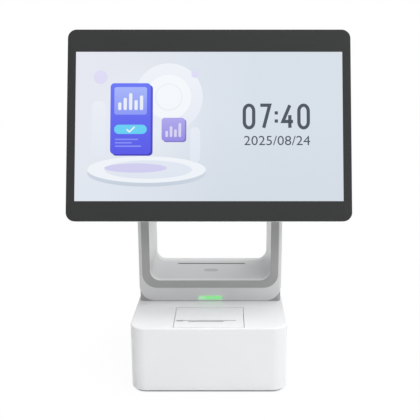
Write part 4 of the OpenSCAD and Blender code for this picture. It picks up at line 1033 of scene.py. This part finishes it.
def makeDrawing(values):
    sheet = PictureSheet(glassSet["paneDepth"], values["layerStep"])
    lit = {
        name: litMaterial(name, low, high, fromZ * mm, toZ * mm)
        for name, (low, high, fromZ, toZ) in drawingColours.items()
    }
    stage, card, tile = values["stage"], values["card"], values["tile"]

    # stage and pale shapes behind
    sx, sz = stage["centre"]
    hx, hz = stage["half"]
    sheet.nextLayer()
    sheet.shape(oval(44, 44, values["disc"]), lit["paleShape"])
    sheet.shape(oval(hx, hz, (sx, sz - 5)), lit["rimShape"])
    sheet.nextLayer()
    sheet.shape(oval(hx, hz, (sx, sz)), lit["whiteShape"])
    sheet.shape(oval(29, 29, values["disc"]), lit["whiteShape"])
    sheet.nextLayer()
    sheet.shape(oval(hx * 0.74, hz * 0.70, (sx + 2, sz)), lit["paleShape"])
    sheet.shape(box(18, 74, 9, (-142, -6)), lit["paleShape"])
    sheet.shape(box(13, 46, 6.5, (-18, -26)), lit["paleShape"])
    sheet.shape(oval(9, 9, (-140, 62)), lit["lilacShape"])
    sheet.shape(oval(5, 5, (-18, 66)), lit["lilacShape"])
    sheet.nextLayer()
    sheet.shape(oval(40, 6, (-94, -56)), lit["lilacShape"])
    sheet.strip(oval(17, 17, values["disc"]), 1.6, lit["paleShape"], closed=True)

    # large card and small tile
    cx, cz = card["centre"]
    width, height = card["size"]
    tx, tz = tile["centre"]
    tw, th = tile["size"]
    sheet.nextLayer()
    sheet.shape(box(width, height, card["corner"], (cx + 2.6, cz - 2.2)), lit["cardEdge"])
    sheet.shape(box(tw, th, tile["corner"], (tx + 1.8, tz - 1.6)), lit["tileEdge"])
    sheet.nextLayer()
    sheet.shape(box(width, height, card["corner"], (cx, cz)), lit["cardBlue"])
    sheet.shape(box(tw, th, tile["corner"], (tx, tz)), lit["tileViolet"])

    # what stands on them: a panel, a key, lines, bars and a tick
    sheet.nextLayer()
    sheet.shape(box(width - 10, 36, 3, (cx, cz + 23)), lit["cardPale"])
    sheet.shape(box(width - 10, 12, 6, (cx, cz - 14)), lit["cyanShape"])
    for number, length in enumerate(values["lines"]):
        middle = (cx - (width - 12) / 2 + length / 2, cz - 27 - 4.4 * number)
        sheet.shape(box(length, 1.8, 0.9, middle), lit["cardPale"])
    for number, rise in enumerate(values["tileBars"]):
        middle = (tx - 8.4 + 5.6 * number, tz - 10 + rise / 2)
        sheet.shape(box(3.4, rise, 1.4, middle), lit["lilacShape"])
    sheet.nextLayer()
    for number, rise in enumerate(values["cardBars"]):
        middle = (cx - 14 + 7 * number, cz + 11 + rise / 2)
        sheet.shape(box(4.2, rise, 1.8, middle), lit["paleShape"])
    tick = [(cx - 5, cz - 14), (cx - 1.4, cz - 17.2), (cx + 5.4, cz - 10.8)]
    sheet.strip(tick, 1.7, lit["whiteShape"])
    return sheet.mesh("litShapes")


addPiece("litShapes", makeDrawing(drawingSet), None, place=headPlace)

# places in millimetres from the middle of the glass
clockSet = {
    "time": "07:40",
    "left": 43.2, "right": 129.8, "low": -6.2, "high": 27.5, "stroke": 4.3, "gap": 4.2,
    "colonAt": (0.30, 0.66), "colonCorner": 0.8, "depth": 0.26 * mm,
    "ink": (0.058, 0.072, 0.098),
}
dateSet = {
    "date": "2025/08/24",
    "left": 45.0, "right": 129.8, "low": -26.6, "high": -14.4, "depth": 0.24 * mm,
}


def halfRound(middle, side):
    # upper (side 1) or lower (side -1) end of a nought
    points = []
    for degrees in range(0, 181, 15):
        angle = math.radians(degrees)
        points.append((
            0.5 + side * 0.5 * math.cos(angle),
            middle + side * 0.26 * math.sin(angle),
        ))
    return points


def digitPaths(digit):
    # strokes in a unit box, as (points, closed)
    return {
        "0": [(halfRound(0.74, 1) + halfRound(0.26, -1), True)],
        "7": [([(0, 1), (1, 1), (0.36, 0)], False)],
        "4": [([(0.74, 1), (0, 0.28), (1.08, 0.28)], False), ([(0.74, 0.56), (0.74, 0)], False)],
    }[digit]


def makeClock(values):
    sheet = PictureSheet(values["depth"])
    ink = litMaterial("clockInk", values["ink"], values["ink"], -30 * mm, 30 * mm, 0.9)
    stroke, gap = values["stroke"], values["gap"]
    half = stroke / 2
    foot = values["low"] + half
    rise = values["high"] - values["low"] - stroke
    wide = (values["right"] - values["left"] - stroke - 4 * gap) / 4
    left = values["left"]
    for mark in values["time"]:
        if mark == ":":
            for share in values["colonAt"]:
                middle = (left + half, foot + rise * share)
                sheet.shape(box(stroke, stroke, values["colonCorner"], middle), ink)
            left += stroke + gap
            continue
        for points, closed in digitPaths(mark):
            placed = [(left + half + x * (wide - stroke), foot + z * rise) for x, z in points]
            sheet.strip(placed, stroke, ink, closed)
        left += wide + gap
    return sheet.mesh("clockDigits")


addPiece("clockDigits", makeClock(clockSet), None, place=headPlace)


def makeDate(values):
    # plain numbers in the built-in letter form, fitted to their place
    curve = bpy.data.curves.new("dateCurve", "FONT")
    curve.body = values["date"]
    curve.resolution_u = 3
    holder = bpy.data.objects.new("dateHolder", curve)
    scene.collection.objects.link(holder)
    bpy.context.view_layer.update()
    settled = holder.evaluated_get(bpy.context.evaluated_depsgraph_get())
    mesh = bpy.data.meshes.new_from_object(settled)
    bpy.data.objects.remove(holder)
    bpy.data.curves.remove(curve)
    xs = [v.co.x for v in mesh.vertices]
    ys = [v.co.y for v in mesh.vertices]
    scaleX = (values["right"] - values["left"]) / (max(xs) - min(xs))
    scaleY = (values["high"] - values["low"]) / (max(ys) - min(ys))
    for vertex in mesh.vertices:
        x = values["left"] + (vertex.co.x - min(xs)) * scaleX
        z = values["low"] + (vertex.co.y - min(ys)) * scaleY
        vertex.co = (x * mm, values["depth"], z * mm)
    mesh.name = "dateDigits"
    mesh.materials.clear()
    return mesh


dateInk = litMaterial("dateInk", clockSet["ink"], clockSet["ink"], -30 * mm, 30 * mm, 0.9)
addPiece("dateDigits", makeDate(dateSet), dateInk, place=headPlace)
print("picture, clock and date made")

lensSet = {
    "core": (0.19, 0.42, 0.20),
    "paleEnd": (0.34, 0.38, 0.35),
    "paleAt": (-5 * mm, -11 * mm),
    "unlit": (0.06, 0.16, 0.07, 1),
    "strength": 1.0,
}
glowSet = {
    "place": (0, -9 * mm, 92.6 * mm),
    "size": (32 * mm, 5 * mm),
    "power": 0.0007,
    "colour": (0.25, 1.0, 0.32),
}


def lensFinish(values):
    # clear green bar, brighter in the middle and paler at its left end
    material, tree, shader = newMaterial("lensGreen")
    point = objectPoint(tree)
    across = distanceAlong(tree, point, (0, 0, 0), (1, 0, 0))
    share = between(tree, across, 0, 1, *values["paleAt"])
    grain = noiseAt(tree, point, 2 * mm, 3)
    glow = mixColours(tree, share, values["core"], values["paleEnd"])
    glow = mixColours(tree, between(tree, grain, 0, 0.4), glow, scaled(values["core"], 0.93))
    tree.links.new(glow, shader.inputs["Emission Color"])
    shader.inputs["Emission Strength"].default_value = values["strength"]
    shader.inputs["Base Color"].default_value = values["unlit"]
    shader.inputs["Roughness"].default_value = 0.2
    addBump(tree, shader, grain, 0.1, 0.05 * mm, 0.4 * mm)
    return material


dress("light_lens", lensFinish(lensSet))


def makeGlow(values):
    # green light that the lens throws on the base
    data = bpy.data.lights.new("statusGlow", "AREA")
    data.shape = "RECTANGLE"
    data.size, data.size_y = values["size"]
    data.energy = values["power"]
    data.color = values["colour"]
    lamp = bpy.data.objects.new("statusGlow", data)
    lamp.location = values["place"]
    lamp.rotation_euler = (math.radians(90), 0, 0)
    scene.collection.objects.link(lamp)


makeGlow(glowSet)
print("status light made")
